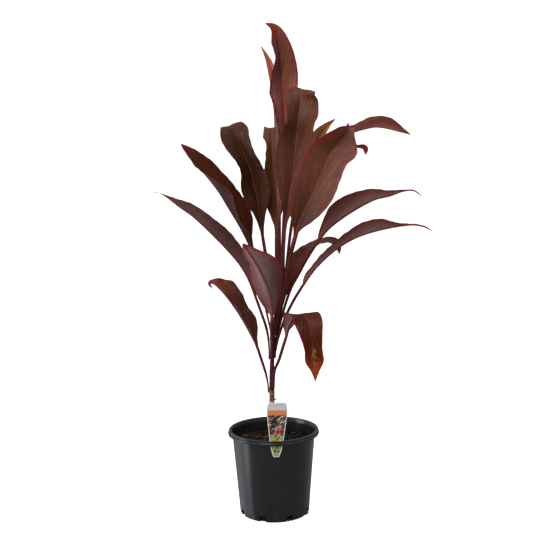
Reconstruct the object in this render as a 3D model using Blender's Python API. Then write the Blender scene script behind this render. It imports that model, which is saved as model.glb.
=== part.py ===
"""Ti plant in a round nursery pot: pot, potting mix, cane, push-in tag and sixteen leaves.

The pot stands on z = 0 with its axis on +Z, and the plant's front faces -Y. Sizes and routes are in
millimetres, which MM turns into metres.
"""
import bmesh
import bpy
import numpy as np
from mathutils import Matrix, Vector, noise

MM = 0.001
GAP = 0.3
MERGE = 0.001

# Pot
POT_SIDES = 48
POT_HEIGHT = 185.3
BASE_RADIUS = 76.2
BASE_CORNER = 3.2
FLOOR = 2.2
FLOOR_CORNER = 2.0
WALL = 1.8
WALL_TOP_RADIUS = 90.7
RIM_RADIUS = 100.0
RIM_BOTTOM = 175.3
LIP_RADIUS = 98.2
GROOVE_HEIGHT = 181.4
FLANGE = 2.3
SKIRT_INNER_RADIUS = 97.4
MOUTH_RADIUS = 92.4
NOTCHES = 8
NOTCH_FIRST_ANGLE = 25.2
NOTCH_WIDTH = 14.5
NOTCH_HEIGHT = 13.5
NOTCH_INNER_RADIUS = 69.0

# Potting mix
SOIL_TOP = 155.0
SOIL_RINGS = (84, 70, 54, 38, 22, 10)
SOIL_BUMP = 2.4
SOIL_BUMP_SPAN = 16.0

# Cane: rows of height, middle x, middle y and radius
CANE = np.array([(30, -6, 0, 6.2), (200, -4, 0, 6.1), (262, -2.3, 0, 5.9), (320, -1.5, 0, 5.2),
                 (365, 1, 1.5, 4.4), (410, 5, 4, 3.6), (455, 9.5, 7, 3), (492, 14, 9, 2.4)])
CANE_SIDES = 12
SCAR_FIRST, SCAR_LAST, SCAR_SPACING = 162.0, 258.0, 8.0
SCAR_DEPTH = 0.45
BUD_HEIGHT, BUD_LENGTH, BUD_RADIUS, BUD_LEAN = 250.0, 4.2, 1.8, 70.0

# Plant tag: its foot passes the rim at TAG_RADIUS, and its outline is (height over the rim, half-width)
TAG_TURN = 3.8
TAG_LEAN = 1.8
TAG_RADIUS = 95.45
TAG_THICKNESS = 0.7
TAG_OUTLINE = [(-33.8, 4.8), (-32.6, 6.2), (-29.5, 7.8), (-21, 10.6), (-8.4, 12.7), (0, 14.2), (24, 17.5),
               (52, 20.8), (64.5, 21.8), (72, 21.4), (79, 19.6), (82.3, 17.4)]
SLOT_LENGTH = 29.4
SLOT_WIDTH = 1.4

# Leaves: half-widths, thicknesses and the angle of the petiole's trough
SHEATH_RISE = 13.0
SHEATH_OFFSETS = (2.2, 2.65)
SHEATH_NARROWING, SHEATH_LENGTH, SHEATH_SHARE = 0.06, 18.0, 0.12
STALK = 3.2
STALK_MIDDLE, STALK_EDGE = 3.5, 1.8
TROUGH = 50.0
BLADE_MIDDLE, BLADE_EDGE = 1.7, 0.8
RIB_EASE = 0.12
# Keel under the stalk and midrib, by place: -1 at the foot, 0 where the blade starts and 1 at the tip.
# Each row is (place, height, width)
KEEL = [(-1, 0, 2.4), (-0.82, 0, 2.4), (-0.5, 2.4, 2.4), (0, 2.4, 2.4), (0.1, 1.7, 2.0), (0.4, 0.9, 1.6),
        (1, 0, 1.2)]
TIP = 0.9
WAVE_STEP, WAVE_SHIFT, WAVE_POWER = 1.13, 0.37, 2.2
PETIOLE_ROWS, BLADE_ROWS = 7, 15
ACROSS = np.array((0, 0.27, 0.62, 1))
AHEAD = 0.003

# Each leaf has its seat (height on the cane, turn from +X), the length of its petiole and its midrib's
# route. Along the blade, from 0 to 1, come the half-widths, the way its upper face looks and the angles
# at which its left and right halves fold up. Waves are (number, height, phase).
LEAVES = {
    "leaf_low_left": dict(
        seat=(266, 188), petiole=104,
        route=[(-15, 2, 311), (-25, 8, 342), (-34, 16, 367), (-47, 28, 390), (-67, 48, 422),
               (-89, 68, 452), (-112, 88, 478), (-132, 102, 495), (-141, 110, 497), (-136, 118, 479)],
        widths=[(0.08, 10), (0.15, 20), (0.3, 32), (0.5, 34), (0.65, 38), (0.77, 39), (0.83, 24),
                (0.88, 9), (0.95, 4)],
        faces=[(0, (0.8, -0.6, 0.4)), (0.3, (0.75, -0.5, 0.55)), (0.8, (0.5, -0.5, 0.75)),
               (0.92, (-0.4, -0.6, 0.5)), (1, (-0.9, -0.4, 0.1))],
        folds=[(0, 48, 45), (0.15, 49, 24), (0.3, 42, 28), (0.5, 40, 24), (0.65, 48, 24), (0.8, 40, 25),
               (0.9, 30, 30), (1, 20, 20)],
        waves=(2.5, 2.5, 0.2), tone="mauve"),
    "leaf_low_right_folded": dict(
        seat=(278, 300), petiole=130,
        route=[(5, -10, 318), (13, -18, 339), (40, -55, 426), (53, -74, 447), (64, -88, 451),
               (73, -99, 442), (81, -111, 405), (87, -112, 350), (88, -109, 315)],
        widths=[(0.06, 9), (0.1, 14.5), (0.15, 19), (0.23, 26), (0.3, 31), (0.36, 30), (0.42, 30),
                (0.5, 28), (0.6, 23.5), (0.7, 19.5), (0.83, 18.5), (0.9, 9.5), (0.95, 5)],
        faces=[(0, (-0.4, 0.7, 0.4)), (0.15, (-0.35, 0.5, 0.8)), (0.27, (0.15, 0, 1)),
               (0.33, (0.15, -0.3, 1)), (0.5, (0.1, -1, 0.2)), (1, (0.1, -1, -0.1))],
        folds=[(0, 48, 30), (0.08, 18, 25), (0.15, 12, 18), (0.3, -5, 5), (0.6, 20, 12), (1, 12, 12)],
        waves=(2.5, 3, 0.1), tone="amber"),
    "leaf_front_mauve": dict(
        seat=(314, 262), petiole=126,
        route=[(-1, -11, 362), (-1, -16, 403), (0, -24, 439), (-2, -42, 476), (-6, -58, 499),
               (-15, -76, 524), (-28, -96, 554), (-43, -115, 582), (-55, -130, 602)],
        widths=[(0.07, 13), (0.13, 18), (0.2, 25), (0.32, 33), (0.48, 43), (0.65, 41), (0.83, 19),
                (0.93, 9)],
        faces=[(0, (0, 1, 0.3)), (0.5, (-0.35, 1, 0.3)), (1, (-0.5, 1, 0.5))],
        folds=[(0, 30, 30), (0.15, 33, 15), (0.32, 35, 42), (0.48, 8, 74), (0.65, 5, 78), (0.83, 15, 55),
               (1, 20, 40)],
        waves=(2.5, 2.5, 0), tone="mauve"),
    "leaf_left_long": dict(
        seat=(340, 192), petiole=143,
        route=[(-10, -4, 403), (-22, -8, 445), (-42, -12, 502), (-59, -13, 537), (-79, -13, 565),
               (-162, -8, 650), (-192, -6, 672), (-234, -4, 703), (-251, -4, 706)],
        widths=[(0.1, 14), (0.2, 23), (0.3, 29), (0.45, 34), (0.6, 32), (0.75, 24), (0.88, 9), (0.94, 2)],
        faces=[(0, (0.8, 0.1, 0.6)), (0.3, (0.6, 0.35, 1)), (0.7, (0.4, 0.2, 1)), (1, (0.3, 0, 1))],
        folds=[(0, 50, 50), (0.2, 54, 52), (0.6, 54, 52), (0.8, 54, 52), (1, 45, 45)],
        waves=(2.5, 1.6, 0.2), tone="mauve"),
    "leaf_right_long_lower": dict(
        seat=(343, 340), petiole=176,
        route=[(32, -7, 441), (100, -16, 544), (179, -22, 602), (295, -28, 628), (324, -28, 624),
               (343, -28, 615)],
        widths=[(0.05, 12), (0.15, 18), (0.3, 24), (0.45, 27), (0.57, 28), (0.66, 26), (0.75, 13),
                (0.85, 5), (0.93, 4)],
        faces=[(0, (-0.7, 0.3, 0.7)), (0.35, (-0.3, 0.45, 1)), (1, (0.1, 0.3, 1))],
        folds=[(0, 50, 50), (0.12, 50, 25), (0.3, 45, 15), (0.42, 50, 32), (0.55, 50, 50), (0.68, 50, 50),
               (0.8, 45, 45), (1, 45, 45)],
        waves=(2.5, 1.6, 0.2), tone="mauve"),
    "leaf_right_long_upper": dict(
        seat=(357, 44), petiole=262,
        route=[(41, 2, 493), (56, 0, 521), (87, -6, 576), (127, -10, 625), (218, -16, 681),
               (254, -18, 690), (285, -20, 700), (304, -20, 700), (321, -20, 689)],
        widths=[(0.05, 11), (0.15, 25), (0.25, 38), (0.35, 41), (0.45, 38), (0.55, 30), (0.65, 20),
                (0.75, 13), (0.85, 4.5), (0.93, 3)],
        faces=[(0, (-0.7, 0.3, 0.7)), (0.35, (-0.3, 0.45, 1)), (1, (0.1, 0.3, 1))],
        folds=[(0, 50, 50), (0.3, 52, 50), (0.6, 52, 50), (0.8, 45, 45), (1, 40, 40)],
        waves=(2.5, 1.6, 0.2), tone="mauve"),
    "leaf_rear_right_olive": dict(
        seat=(372, 104), petiole=109,
        route=[(13, 12, 415), (19, 16, 445), (36, 23, 497), (55, 30, 540), (77, 42, 573), (93, 51, 583),
               (109, 60, 589), (128, 69, 590), (144, 77, 585), (152, 83, 572), (154, 86, 560)],
        widths=[(0.05, 9), (0.15, 18), (0.25, 21.5), (0.45, 20), (0.62, 19), (0.75, 17), (0.85, 16),
                (0.92, 12), (0.96, 7)],
        faces=[(0, (-0.3, -1, 0.1)), (0.3, (-0.3, -1, 0.4)), (0.6, (-0.4, -0.6, 0.8)),
               (0.8, (0, -0.5, 1)), (1, (0.8, -0.7, 0.2))],
        folds=[(0, 45, 45), (0.15, 25, 45), (0.3, 8, 30), (0.45, 0, 25), (0.65, 0, 20), (0.75, 0, 24),
               (0.85, 16, 5), (1, 25, 15)],
        waves=(2.5, 2, 0.2), tone="olive"),
    "leaf_left_spear": dict(
        seat=(382, 190), petiole=178,
        route=[(-7, 6, 421), (-20, 9, 491), (-28, 9, 530), (-40, 7, 574), (-53, 5, 605), (-69, 2, 636),
               (-90, -1, 672), (-108, -4, 703), (-127, -7, 729), (-145, -10, 751), (-161, -13, 771),
               (-185, -17, 806)],
        widths=[(0.08, 9), (0.15, 16), (0.25, 34), (0.36, 45), (0.46, 46), (0.56, 42), (0.66, 37),
                (0.75, 35), (0.82, 30), (0.9, 21), (0.96, 10)],
        faces=[(0, (0.8, -0.1, 0.5)), (0.4, (0.75, -0.45, 0.5)), (0.7, (0.6, -0.6, 0.6)),
               (1, (0.4, -0.8, 0.5))],
        folds=[(0, 48, 45), (0.15, 58, 41), (0.25, 42, 38), (0.4, 46, 30), (0.55, 60, 28), (0.67, 52, 22),
               (0.82, 40, 19), (0.9, 45, 17), (1, 40, 15)],
        waves=(2, 2.5, 0.2), tone="mauve"),
    "leaf_front_broad": dict(
        seat=(392, 310), petiole=225,
        route=[(27, -15, 493), (55, -36, 622), (96, -47, 714), (124, -43, 775), (141, -35, 802),
               (170, -7, 834), (170, 6, 824), (169, 16, 807), (185, 23, 796), (206, 27, 792),
               (208, 29, 779)],
        widths=[(0.05, 10), (0.1, 23), (0.2, 43), (0.3, 51), (0.4, 49), (0.5, 51), (0.58, 49), (0.64, 43),
                (0.68, 32), (0.72, 16), (0.77, 9), (0.83, 6), (0.88, 7), (0.94, 11)],
        faces=[(0, (0, -1, 0)), (0.5, (0, -1, 0.1)), (0.68, (0, -1, 0.4)), (0.8, (-0.2, -0.3, 1)),
               (1, (0.3, 0.5, 0.8))],
        folds=[(0, 30, 30), (0.12, 18, 35), (0.3, 20, 33), (0.4, 20, 36), (0.5, 32, 36), (0.57, 66, 8),
               (0.64, 92, -10), (0.69, 102, -10), (0.73, 80, 0), (0.78, 30, 10), (0.84, 15, 15),
               (1, 20, 20)],
        waves=(2.5, 2.5, 0.2), tone="bronze"),
    "leaf_left_arching": dict(
        seat=(403, 141), petiole=205,
        route=[(0, 14, 448), (-6, 24, 528), (-16, 36, 595), (-25, 46, 663), (-33, 55, 711),
               (-44, 64, 755), (-60, 74, 795), (-75, 84, 826), (-85, 95, 845), (-92, 107, 849),
               (-91, 121, 833), (-87, 133, 804), (-79, 141, 775)],
        widths=[(0.05, 6), (0.1, 12), (0.15, 20), (0.2, 29), (0.3, 36), (0.4, 32), (0.5, 31), (0.6, 36),
                (0.66, 36), (0.71, 29), (0.76, 19), (0.82, 12), (0.9, 7)],
        faces=[(0, (0, -1, 0)), (0.5, (0.2, -1, 0.1)), (0.68, (0.2, -0.8, 0.6)), (0.76, (0, -0.1, 1)),
               (0.9, (-0.1, 0.9, 0.4)), (1, (-0.1, 0.9, 0.4))],
        folds=[(0, 40, 40), (0.1, 50, 45), (0.2, 40, 35), (0.3, 28, 33), (0.4, 35, 43), (0.5, 28, 57),
               (0.6, 12, 56), (0.7, 3, 38), (0.76, -8, 28), (0.85, 15, 15), (1, 30, 30)],
        waves=(2.5, 2.5, 0.2), tone="olive"),
    "leaf_rear_olive": dict(
        seat=(422, 78), petiole=188,
        route=[(12, 23, 473), (12, 36, 549), (12, 66, 651), (5, 99, 795), (2, 124, 845), (2, 140, 837),
               (-1, 154, 815), (-4, 164, 779)],
        widths=[(0.06, 5), (0.12, 12), (0.22, 23), (0.34, 29), (0.45, 28), (0.55, 22), (0.6, 18),
                (0.68, 18), (0.73, 15), (0.85, 9)],
        faces=[(0, (0, -1, 0)), (0.6, (0, -1, 0.2)), (0.72, (0, -0.2, 1)), (0.85, (0, 0.9, 0.4)),
               (1, (0, 0.9, 0.4))],
        folds=[(0, 40, 40), (0.12, 35, 35), (0.3, 25, 15), (0.45, 45, 15), (0.55, 58, 15), (0.62, 58, 15),
               (0.7, 5, 10), (0.8, 20, 15), (1, 25, 25)],
        waves=(2.5, 2.5, 0.2), tone="olive"),
    "leaf_front_tall": dict(
        seat=(420, 290), petiole=201,
        route=[(20, -6, 470), (30, -20, 618), (50, -22, 754), (65, -11, 877), (70, -6, 905),
               (77, -1, 916), (84, 11, 901), (88, 22, 851)],
        widths=[(0.06, 4.5), (0.12, 12), (0.22, 26), (0.34, 40), (0.45, 44), (0.57, 43), (0.66, 42),
                (0.71, 40), (0.76, 36), (0.81, 26), (0.87, 14), (0.94, 6)],
        faces=[(0, (0, -1, 0)), (0.5, (0, -1, 0.05)), (0.7, (0, -1, 0.35)), (0.8, (-0.1, -0.1, 1)),
               (0.92, (0.2, 0.9, 0.4)), (1, (0.2, 0.9, 0.4))],
        folds=[(0, 40, 40), (0.12, 50, 35), (0.25, 25, 40), (0.4, 18, 36), (0.52, 38, 34), (0.6, 62, 35),
               (0.66, 55, 12), (0.73, 35, 2), (0.8, 20, -12), (1, 30, 10)],
        waves=(2.5, 2.2, 0.2), tone="bronze"),
    "leaf_small_bronze": dict(
        seat=(441, 17), petiole=258,
        route=[(27, 34, 500), (48, 63, 635), (71, 75, 732), (106, 80, 815), (126, 80, 842),
               (146, 80, 860)],
        widths=[(0.15, 9), (0.35, 15), (0.6, 18), (0.8, 14), (0.92, 6)],
        faces=[(0, (-0.3, -1, 0)), (1, (-0.5, -0.8, 0.2))],
        folds=[(0, 45, 45), (0.5, 50, 12), (1, 35, 30)],
        waves=(2, 1.2, 0.2), tone="olive"),
    "leaf_upper_right": dict(
        seat=(456, 307), petiole=280,
        route=[(31, 3, 513), (41, 9, 555), (65, 25, 641), (83, 33, 688), (105, 39, 744), (132, 46, 791),
               (159, 51, 818), (212, 58, 836), (238, 59, 839), (311, 60, 822)],
        widths=[(0.12, 11), (0.25, 17), (0.4, 20), (0.55, 20), (0.7, 29), (0.85, 27), (0.93, 16)],
        faces=[(0, (-0.6, -0.8, 0.1)), (0.35, (-0.5, -0.5, 0.6)), (0.6, (-0.2, 0, 1)), (1, (0.2, 0, 1))],
        folds=[(0, 50, 50), (0.4, 50, 30), (0.6, 56, 30), (0.8, 70, 30), (1, 40, 35)],
        waves=(2, 1.4, 0.2), tone="bronze"),
    "leaf_top_rear": dict(
        seat=(460, 130), petiole=199,
        route=[(19, 25, 519), (19, 33, 558), (20, 47, 651), (27, 58, 793), (26, 60, 880), (19, 59, 927),
               (10, 57, 961), (-1, 54, 990), (-14, 50, 1014)],
        widths=[(0.1, 8), (0.3, 15), (0.5, 17), (0.7, 15), (0.85, 10), (0.93, 5)],
        faces=[(0, (-0.3, -1, 0)), (1, (-0.3, -1, 0.1))],
        folds=[(0, 45, 45), (0.5, 40, 40), (1, 20, 20)],
        waves=(2, 1.2, 0.2), tone="bronze"),
    "leaf_top_spear": dict(
        seat=(474, 30), petiole=182,
        route=[(26, 20, 587), (35, 31, 770), (32, 38, 882), (28, 38, 928), (21, 32, 1030), (11, 30, 1049),
               (-4, 28, 1059)],
        widths=[(0.08, 7), (0.2, 14), (0.35, 22), (0.5, 30), (0.62, 38), (0.75, 39), (0.86, 29),
                (0.93, 16), (0.97, 8)],
        faces=[(0, (-0.2, -1, 0)), (0.7, (-0.1, -1, 0)), (0.9, (0, -1, 0.3)), (1, (0.1, -1, 0.6))],
        folds=[(0, 45, 45), (0.2, 50, 50), (0.4, 64, 50), (0.54, 64, 38), (0.62, 52, 28), (0.7, 64, 18),
               (0.8, 80, 22), (0.9, 50, 35), (1, 30, 30)],
        waves=(3, 2.2, 0.2), tone="bronze"),
}

# Colours of the leaves' groups
TONES = {
    "bronze": (0.110, 0.050, 0.040),
    "olive": (0.130, 0.085, 0.045),
    "mauve": (0.200, 0.120, 0.130),
    "amber": (0.240, 0.110, 0.050),
}


def clear_scene():
    """Remove every object that the file opened with."""
    for thing in list(bpy.data.objects):
        bpy.data.objects.remove(thing)


def material(name, colour, roughness):
    """Plain non-metal Principled material."""
    made = bpy.data.materials.new(name)
    made.use_nodes = True
    shader = made.node_tree.nodes["Principled BSDF"]
    shader.inputs["Base Color"].default_value = (*colour, 1)
    shader.inputs["Roughness"].default_value = roughness
    shader.inputs["Metallic"].default_value = 0
    return made


def add_object(mesh, finish=None, at=(0, 0, 0), sharp_angle=None):
    """Link a mesh as an object of its name, shaded smooth up to the given edge angle in degrees."""
    thing = bpy.data.objects.new(mesh.name, mesh)
    thing.location = Vector(at) * MM
    bpy.context.collection.objects.link(thing)
    if finish:
        mesh.materials.append(finish)
    if sharp_angle:
        mesh.shade_smooth()
        mesh.set_sharp_from_angle(angle=np.radians(sharp_angle))
    return thing


def mesh_from_points(name, points, faces):
    """Mesh from points in millimetres and lists of their numbers."""
    mesh = bpy.data.meshes.new(name)
    mesh.from_pydata((np.asarray(points) * MM).tolist(), [], faces)
    return mesh


def mesh_from_bmesh(name, bm):
    """Mesh from an edit mesh, which is freed."""
    mesh = bpy.data.meshes.new(name)
    bm.to_mesh(mesh)
    bm.free()
    return mesh


def cutter(mesh, at=(0, 0, 0)):
    """Object that only serves a Boolean modifier."""
    thing = add_object(mesh, at=at)
    thing.hide_render = True
    thing.display_type = "WIRE"
    return thing


def combine(body, tool, operation="DIFFERENCE"):
    """Cut the body with a tool, or join the tool to it."""
    step = body.modifiers.new(tool.name, "BOOLEAN")
    step.object = tool
    step.operation = operation
    step.solver = "EXACT"


def through_keys(keys, values, at):
    """Smooth curve through keyed rows: cubic Hermite, its slopes from the neighbouring rows."""
    keys = np.asarray(keys, float)
    values = np.asarray(values, float).reshape(len(keys), -1)
    slopes = np.gradient(values, keys, axis=0)
    at = np.clip(np.atleast_1d(at), keys[0], keys[-1])
    i = np.clip(np.searchsorted(keys, at, side="right") - 1, 0, len(keys) - 2)
    span = (keys[i + 1] - keys[i])[:, None]
    t = (at - keys[i])[:, None] / span
    start = (2 * t**3 - 3 * t**2 + 1) * values[i] + (t**3 - 2 * t**2 + t) * span * slopes[i]
    end = (3 * t**2 - 2 * t**3) * values[i + 1] + (t**3 - t**2) * span * slopes[i + 1]
    return start + end


def turned(profile, sides):
    """Edit mesh turned about +Z from (radius, height) points that start and end on the axis."""
    bm = bmesh.new()
    line = [bm.verts.new((radius * MM, 0, height * MM)) for radius, height in profile]
    edges = [bm.edges.new(pair) for pair in zip(line, line[1:])]
    bmesh.ops.spin(bm, geom=line + edges, cent=(0, 0, 0), axis=(0, 0, 1), angle=2 * np.pi, steps=sides)
    bmesh.ops.remove_doubles(bm, verts=bm.verts, dist=MERGE * MM)
    bmesh.ops.recalc_face_normals(bm, faces=bm.faces)
    return bm


def wall_inner_radius(height):
    """Radius inside the pot's tapering wall."""
    taper = (WALL_TOP_RADIUS - BASE_RADIUS) / (RIM_BOTTOM - BASE_CORNER)
    return WALL_TOP_RADIUS - WALL - taper * (RIM_BOTTOM - height)


def pot_profile():
    """Section of the moulded pot: foot, tapering wall, hollow rim band, mouth and floor."""
    corner = [(BASE_RADIUS - BASE_CORNER * (1 - np.sin(turn)), BASE_CORNER * (1 - np.cos(turn)))
              for turn in np.radians((0, 45, 90))]
    under_flange = POT_HEIGHT - FLANGE
    flare = [(WALL_TOP_RADIUS, RIM_BOTTOM), (WALL_TOP_RADIUS + 0.8, RIM_BOTTOM + 3.2),
             (WALL_TOP_RADIUS + 3.2, under_flange)]
    skirt = [(SKIRT_INNER_RADIUS, under_flange), (SKIRT_INNER_RADIUS + 0.3, RIM_BOTTOM),
             (RIM_RADIUS - 0.9, RIM_BOTTOM), (RIM_RADIUS, RIM_BOTTOM + 1.3),
             (RIM_RADIUS, GROOVE_HEIGHT - 1.6), (LIP_RADIUS - 0.5, GROOVE_HEIGHT),
             (LIP_RADIUS, GROOVE_HEIGHT + 0.8)]
    lip = [(LIP_RADIUS, POT_HEIGHT - 0.9), (LIP_RADIUS - 0.9, POT_HEIGHT),
           (MOUTH_RADIUS + 1, POT_HEIGHT), (MOUTH_RADIUS, POT_HEIGHT - 1)]
    inner_flare = [(WALL_TOP_RADIUS - WALL + 1, RIM_BOTTOM + 4), (WALL_TOP_RADIUS - WALL, RIM_BOTTOM)]
    floor = [(wall_inner_radius(FLOOR + FLOOR_CORNER), FLOOR + FLOOR_CORNER),
             (wall_inner_radius(FLOOR) - FLOOR_CORNER, FLOOR), (0, FLOOR)]
    return [(0, 0)] + corner + flare + skirt + lip + inner_flare + floor


def make_notch_cutter():
    """Ring of boxes through the pot's base corner."""
    bm = bmesh.new()
    length = BASE_RADIUS + 10 - NOTCH_INNER_RADIUS
    size = Matrix.Diagonal((length * MM, NOTCH_WIDTH * MM, 2 * NOTCH_HEIGHT * MM, 1))
    place = Matrix.Translation(((NOTCH_INNER_RADIUS + length / 2) * MM, 0, 0))
    for step in range(NOTCHES):
        turn = Matrix.Rotation(np.radians(NOTCH_FIRST_ANGLE + step * 360 / NOTCHES), 4, "Z")
        bmesh.ops.create_cube(bm, size=1, matrix=turn @ place @ size)
    return cutter(mesh_from_bmesh("notch_cutter", bm))


def tag_place():
    """Point where the tag passes the rim, and the turn about +Z that sets the tag square to the rim."""
    turn = np.radians(TAG_TURN)
    return (np.sin(turn) * TAG_RADIUS, -np.cos(turn) * TAG_RADIUS, POT_HEIGHT), turn


def make_slot_cutter():
    """Box through the rim's flange, a little larger than the tag's section there."""
    bm = bmesh.new()
    size = Matrix.Diagonal((SLOT_LENGTH * MM, SLOT_WIDTH * MM, 3 * FLANGE * MM, 1))
    bmesh.ops.create_cube(bm, size=1, matrix=size)
    place, turn = tag_place()
    slot = cutter(mesh_from_bmesh("slot_cutter", bm), at=place)
    slot.rotation_euler.z = turn
    return slot


def make_pot():
    """Pot with its drain notches and the slot that the tag passes through."""
    finish = material("pot_plastic", (0.035, 0.036, 0.040), 0.42)
    pot = add_object(mesh_from_bmesh("pot", turned(pot_profile(), POT_SIDES)), finish, sharp_angle=35)
    combine(pot, make_notch_cutter())
    combine(pot, make_slot_cutter())
    return pot


def make_tag():
    """Flat tapering tag with a blunt point, its upper corners cut off."""
    bm = bmesh.new()
    right = [(half, height) for height, half in TAG_OUTLINE]
    left = [(-half, height) for height, half in reversed(TAG_OUTLINE)]
    ring = [bm.verts.new((x * MM, -TAG_THICKNESS / 2 * MM, z * MM)) for x, z in right + left]
    pushed = bmesh.ops.extrude_face_region(bm, geom=[bm.faces.new(ring)], use_keep_orig=True)
    moved = [item for item in pushed["geom"] if isinstance(item, bmesh.types.BMVert)]
    bmesh.ops.translate(bm, verts=moved, vec=(0, TAG_THICKNESS * MM, 0))
    bmesh.ops.recalc_face_normals(bm, faces=bm.faces)
    place, turn = tag_place()
    finish = material("tag_plastic", (0.72, 0.70, 0.66), 0.35)
    tag = add_object(mesh_from_bmesh("plant_tag", bm), finish, at=place)
    tag.rotation_euler = (0, np.radians(TAG_LEAN), turn)
    return tag


def cane_at(height):
    """Middle point and plain radius of the cane at a height."""
    x, y, radius = through_keys(CANE[:, 0], CANE[:, 1:], height)[0]
    return np.array((x, y, height)), radius


def scarred_radius(height):
    """Radius of the cane where leaf scars ring its bare part."""
    if not SCAR_FIRST < height < SCAR_LAST:
        return cane_at(height)[1]
    step = (height - SCAR_FIRST) / SCAR_SPACING
    return cane_at(height)[1] + SCAR_DEPTH * (1 - 2 * abs(step - round(step)))


def tube(name, heights, radius_at):
    """Closed tube up the cane's middle line, with a level ring at each height."""
    turn = np.linspace(0, 2 * np.pi, CANE_SIDES, endpoint=False)
    spoke = np.stack([np.cos(turn), np.sin(turn), np.zeros(CANE_SIDES)], axis=1)
    points = np.concatenate([cane_at(height)[0] + radius_at(height) * spoke for height in heights])
    here = np.arange(CANE_SIDES)
    band = np.stack([here, np.roll(here, -1), np.roll(here, -1) + CANE_SIDES, here + CANE_SIDES], axis=1)
    faces = [here[::-1].tolist(), (here + (len(heights) - 1) * CANE_SIDES).tolist()]
    for ring in range(len(heights) - 1):
        faces += (band + ring * CANE_SIDES).tolist()
    return mesh_from_points(name, points, faces)


def make_bud():
    """Blunt cone that leans out of the cane, sunk halfway into it."""
    bm = bmesh.new()
    bmesh.ops.create_cone(bm, cap_ends=True, segments=8, radius1=BUD_RADIUS * MM,
                          radius2=BUD_RADIUS / 2 * MM, depth=2 * BUD_LENGTH * MM)
    middle, radius = cane_at(BUD_HEIGHT)
    bud = cutter(mesh_from_bmesh("bud_stub", bm), at=middle + (radius, 0, 0))
    bud.rotation_euler.y = np.radians(BUD_LEAN)
    return bud


def make_stem():
    """Cane with ringed scars where leaves have dropped, and one bud stub on its right."""
    foot, top = CANE[0, 0], CANE[-1, 0]
    scars = np.arange(SCAR_FIRST, SCAR_LAST + 1, SCAR_SPACING / 2)
    heights = np.concatenate([np.linspace(foot, SOIL_TOP, 4), scars, np.linspace(SCAR_LAST + 10, top, 14)])
    finish = material("bark", (0.33, 0.20, 0.12), 0.7)
    stem = add_object(tube("stem", heights, scarred_radius), finish, sharp_angle=50)
    combine(stem, make_bud(), "UNION")
    return stem


def make_potting_mix():
    """Mix that fills the pot, with an uneven top and a plain hole for the cane."""
    edge = wall_inner_radius(SOIL_TOP) - GAP
    foot = [(0, FLOOR + GAP), (wall_inner_radius(FLOOR) - FLOOR_CORNER - GAP, FLOOR + GAP),
            (wall_inner_radius(FLOOR + FLOOR_CORNER) - GAP, FLOOR + FLOOR_CORNER + GAP)]
    top = [(radius, SOIL_TOP) for radius in (edge, *SOIL_RINGS, 0)]
    bm = turned(foot + top, POT_SIDES)
    for vert in bm.verts:
        if vert.co.z > (SOIL_TOP - 1) * MM and vert.co.xy.length < (edge - 1) * MM:
            vert.co.z += SOIL_BUMP * MM * noise.noise(vert.co / (SOIL_BUMP_SPAN * MM))
    finish = material("bark_mix", (0.045, 0.032, 0.024), 0.95)
    soil = add_object(mesh_from_bmesh("potting_mix", bm), finish, sharp_angle=40)
    heights = np.linspace(CANE[0, 0] - GAP, SOIL_TOP + 20, 5)
    combine(soil, cutter(tube("cane_hole", heights, lambda height: cane_at(height)[1] + 2 * GAP)))
    return soil


def unit(vectors):
    """Vectors of length one."""
    return vectors / np.linalg.norm(vectors, axis=-1, keepdims=True)


def midrib_curve(route, at):
    """Points of the smooth midrib at fractions of its length, and that length."""
    route = np.asarray(route, float)
    chord = np.concatenate([[0], np.cumsum(np.sqrt(np.linalg.norm(np.diff(route, axis=0), axis=1)))])
    fine = np.linspace(0, chord[-1], 800)
    path = through_keys(chord, route, fine)
    run = np.concatenate([[0], np.cumsum(np.linalg.norm(np.diff(path, axis=0), axis=1))])
    keys = np.interp(np.clip(at, 0, 1) * run[-1], run, fine)
    return through_keys(chord, route, keys), run[-1]


def turn_between(keys, vectors, at):
    """Directions that turn evenly from each keyed one to the next, easing at the keys."""
    keys = np.asarray(keys, float)
    vectors = unit(np.asarray(vectors, float))
    i = np.clip(np.searchsorted(keys, at, side="right") - 1, 0, len(keys) - 2)
    t = np.clip((at - keys[i]) / (keys[i + 1] - keys[i]), 0, 1)
    t = t * t * (3 - 2 * t)
    start, end = vectors[i], vectors[i + 1]
    angle = np.arccos(np.clip((start * end).sum(axis=1), -1, 1)) + 1e-6
    return unit(start * np.sin((1 - t) * angle)[:, None] + end * np.sin(t * angle)[:, None])


def leaf_foot(leaf):
    """Way out of the cane at a leaf's seat, and the leaf's first two points along the bark."""
    seat, turn = leaf["seat"]
    out = np.array((np.cos(np.radians(turn)), np.sin(np.radians(turn)), 0))
    points = []
    for rise, offset in zip((0, SHEATH_RISE), SHEATH_OFFSETS):
        middle, radius = cane_at(seat + rise)
        points.append(middle + out * (radius + offset))
    return out, points


def leaf_frame(leaf, route, out, start, at):
    """Points of the midrib at fractions of its length, and the ways right of the blade and up from it."""
    middle = midrib_curve(route, at)[0]
    along = unit(midrib_curve(route, at + AHEAD)[0] - midrib_curve(route, at - AHEAD)[0])
    keys = [0, min(SHEATH_SHARE, 0.4 * start)] + [start + (1 - start) * key for key, look in leaf["faces"]]
    looks = [-out, -out] + [look for key, look in leaf["faces"]]
    up = turn_between(keys, looks, at)
    up = unit(up - (up * along).sum(axis=1, keepdims=True) * along)
    return middle, np.cross(along, up), up


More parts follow.
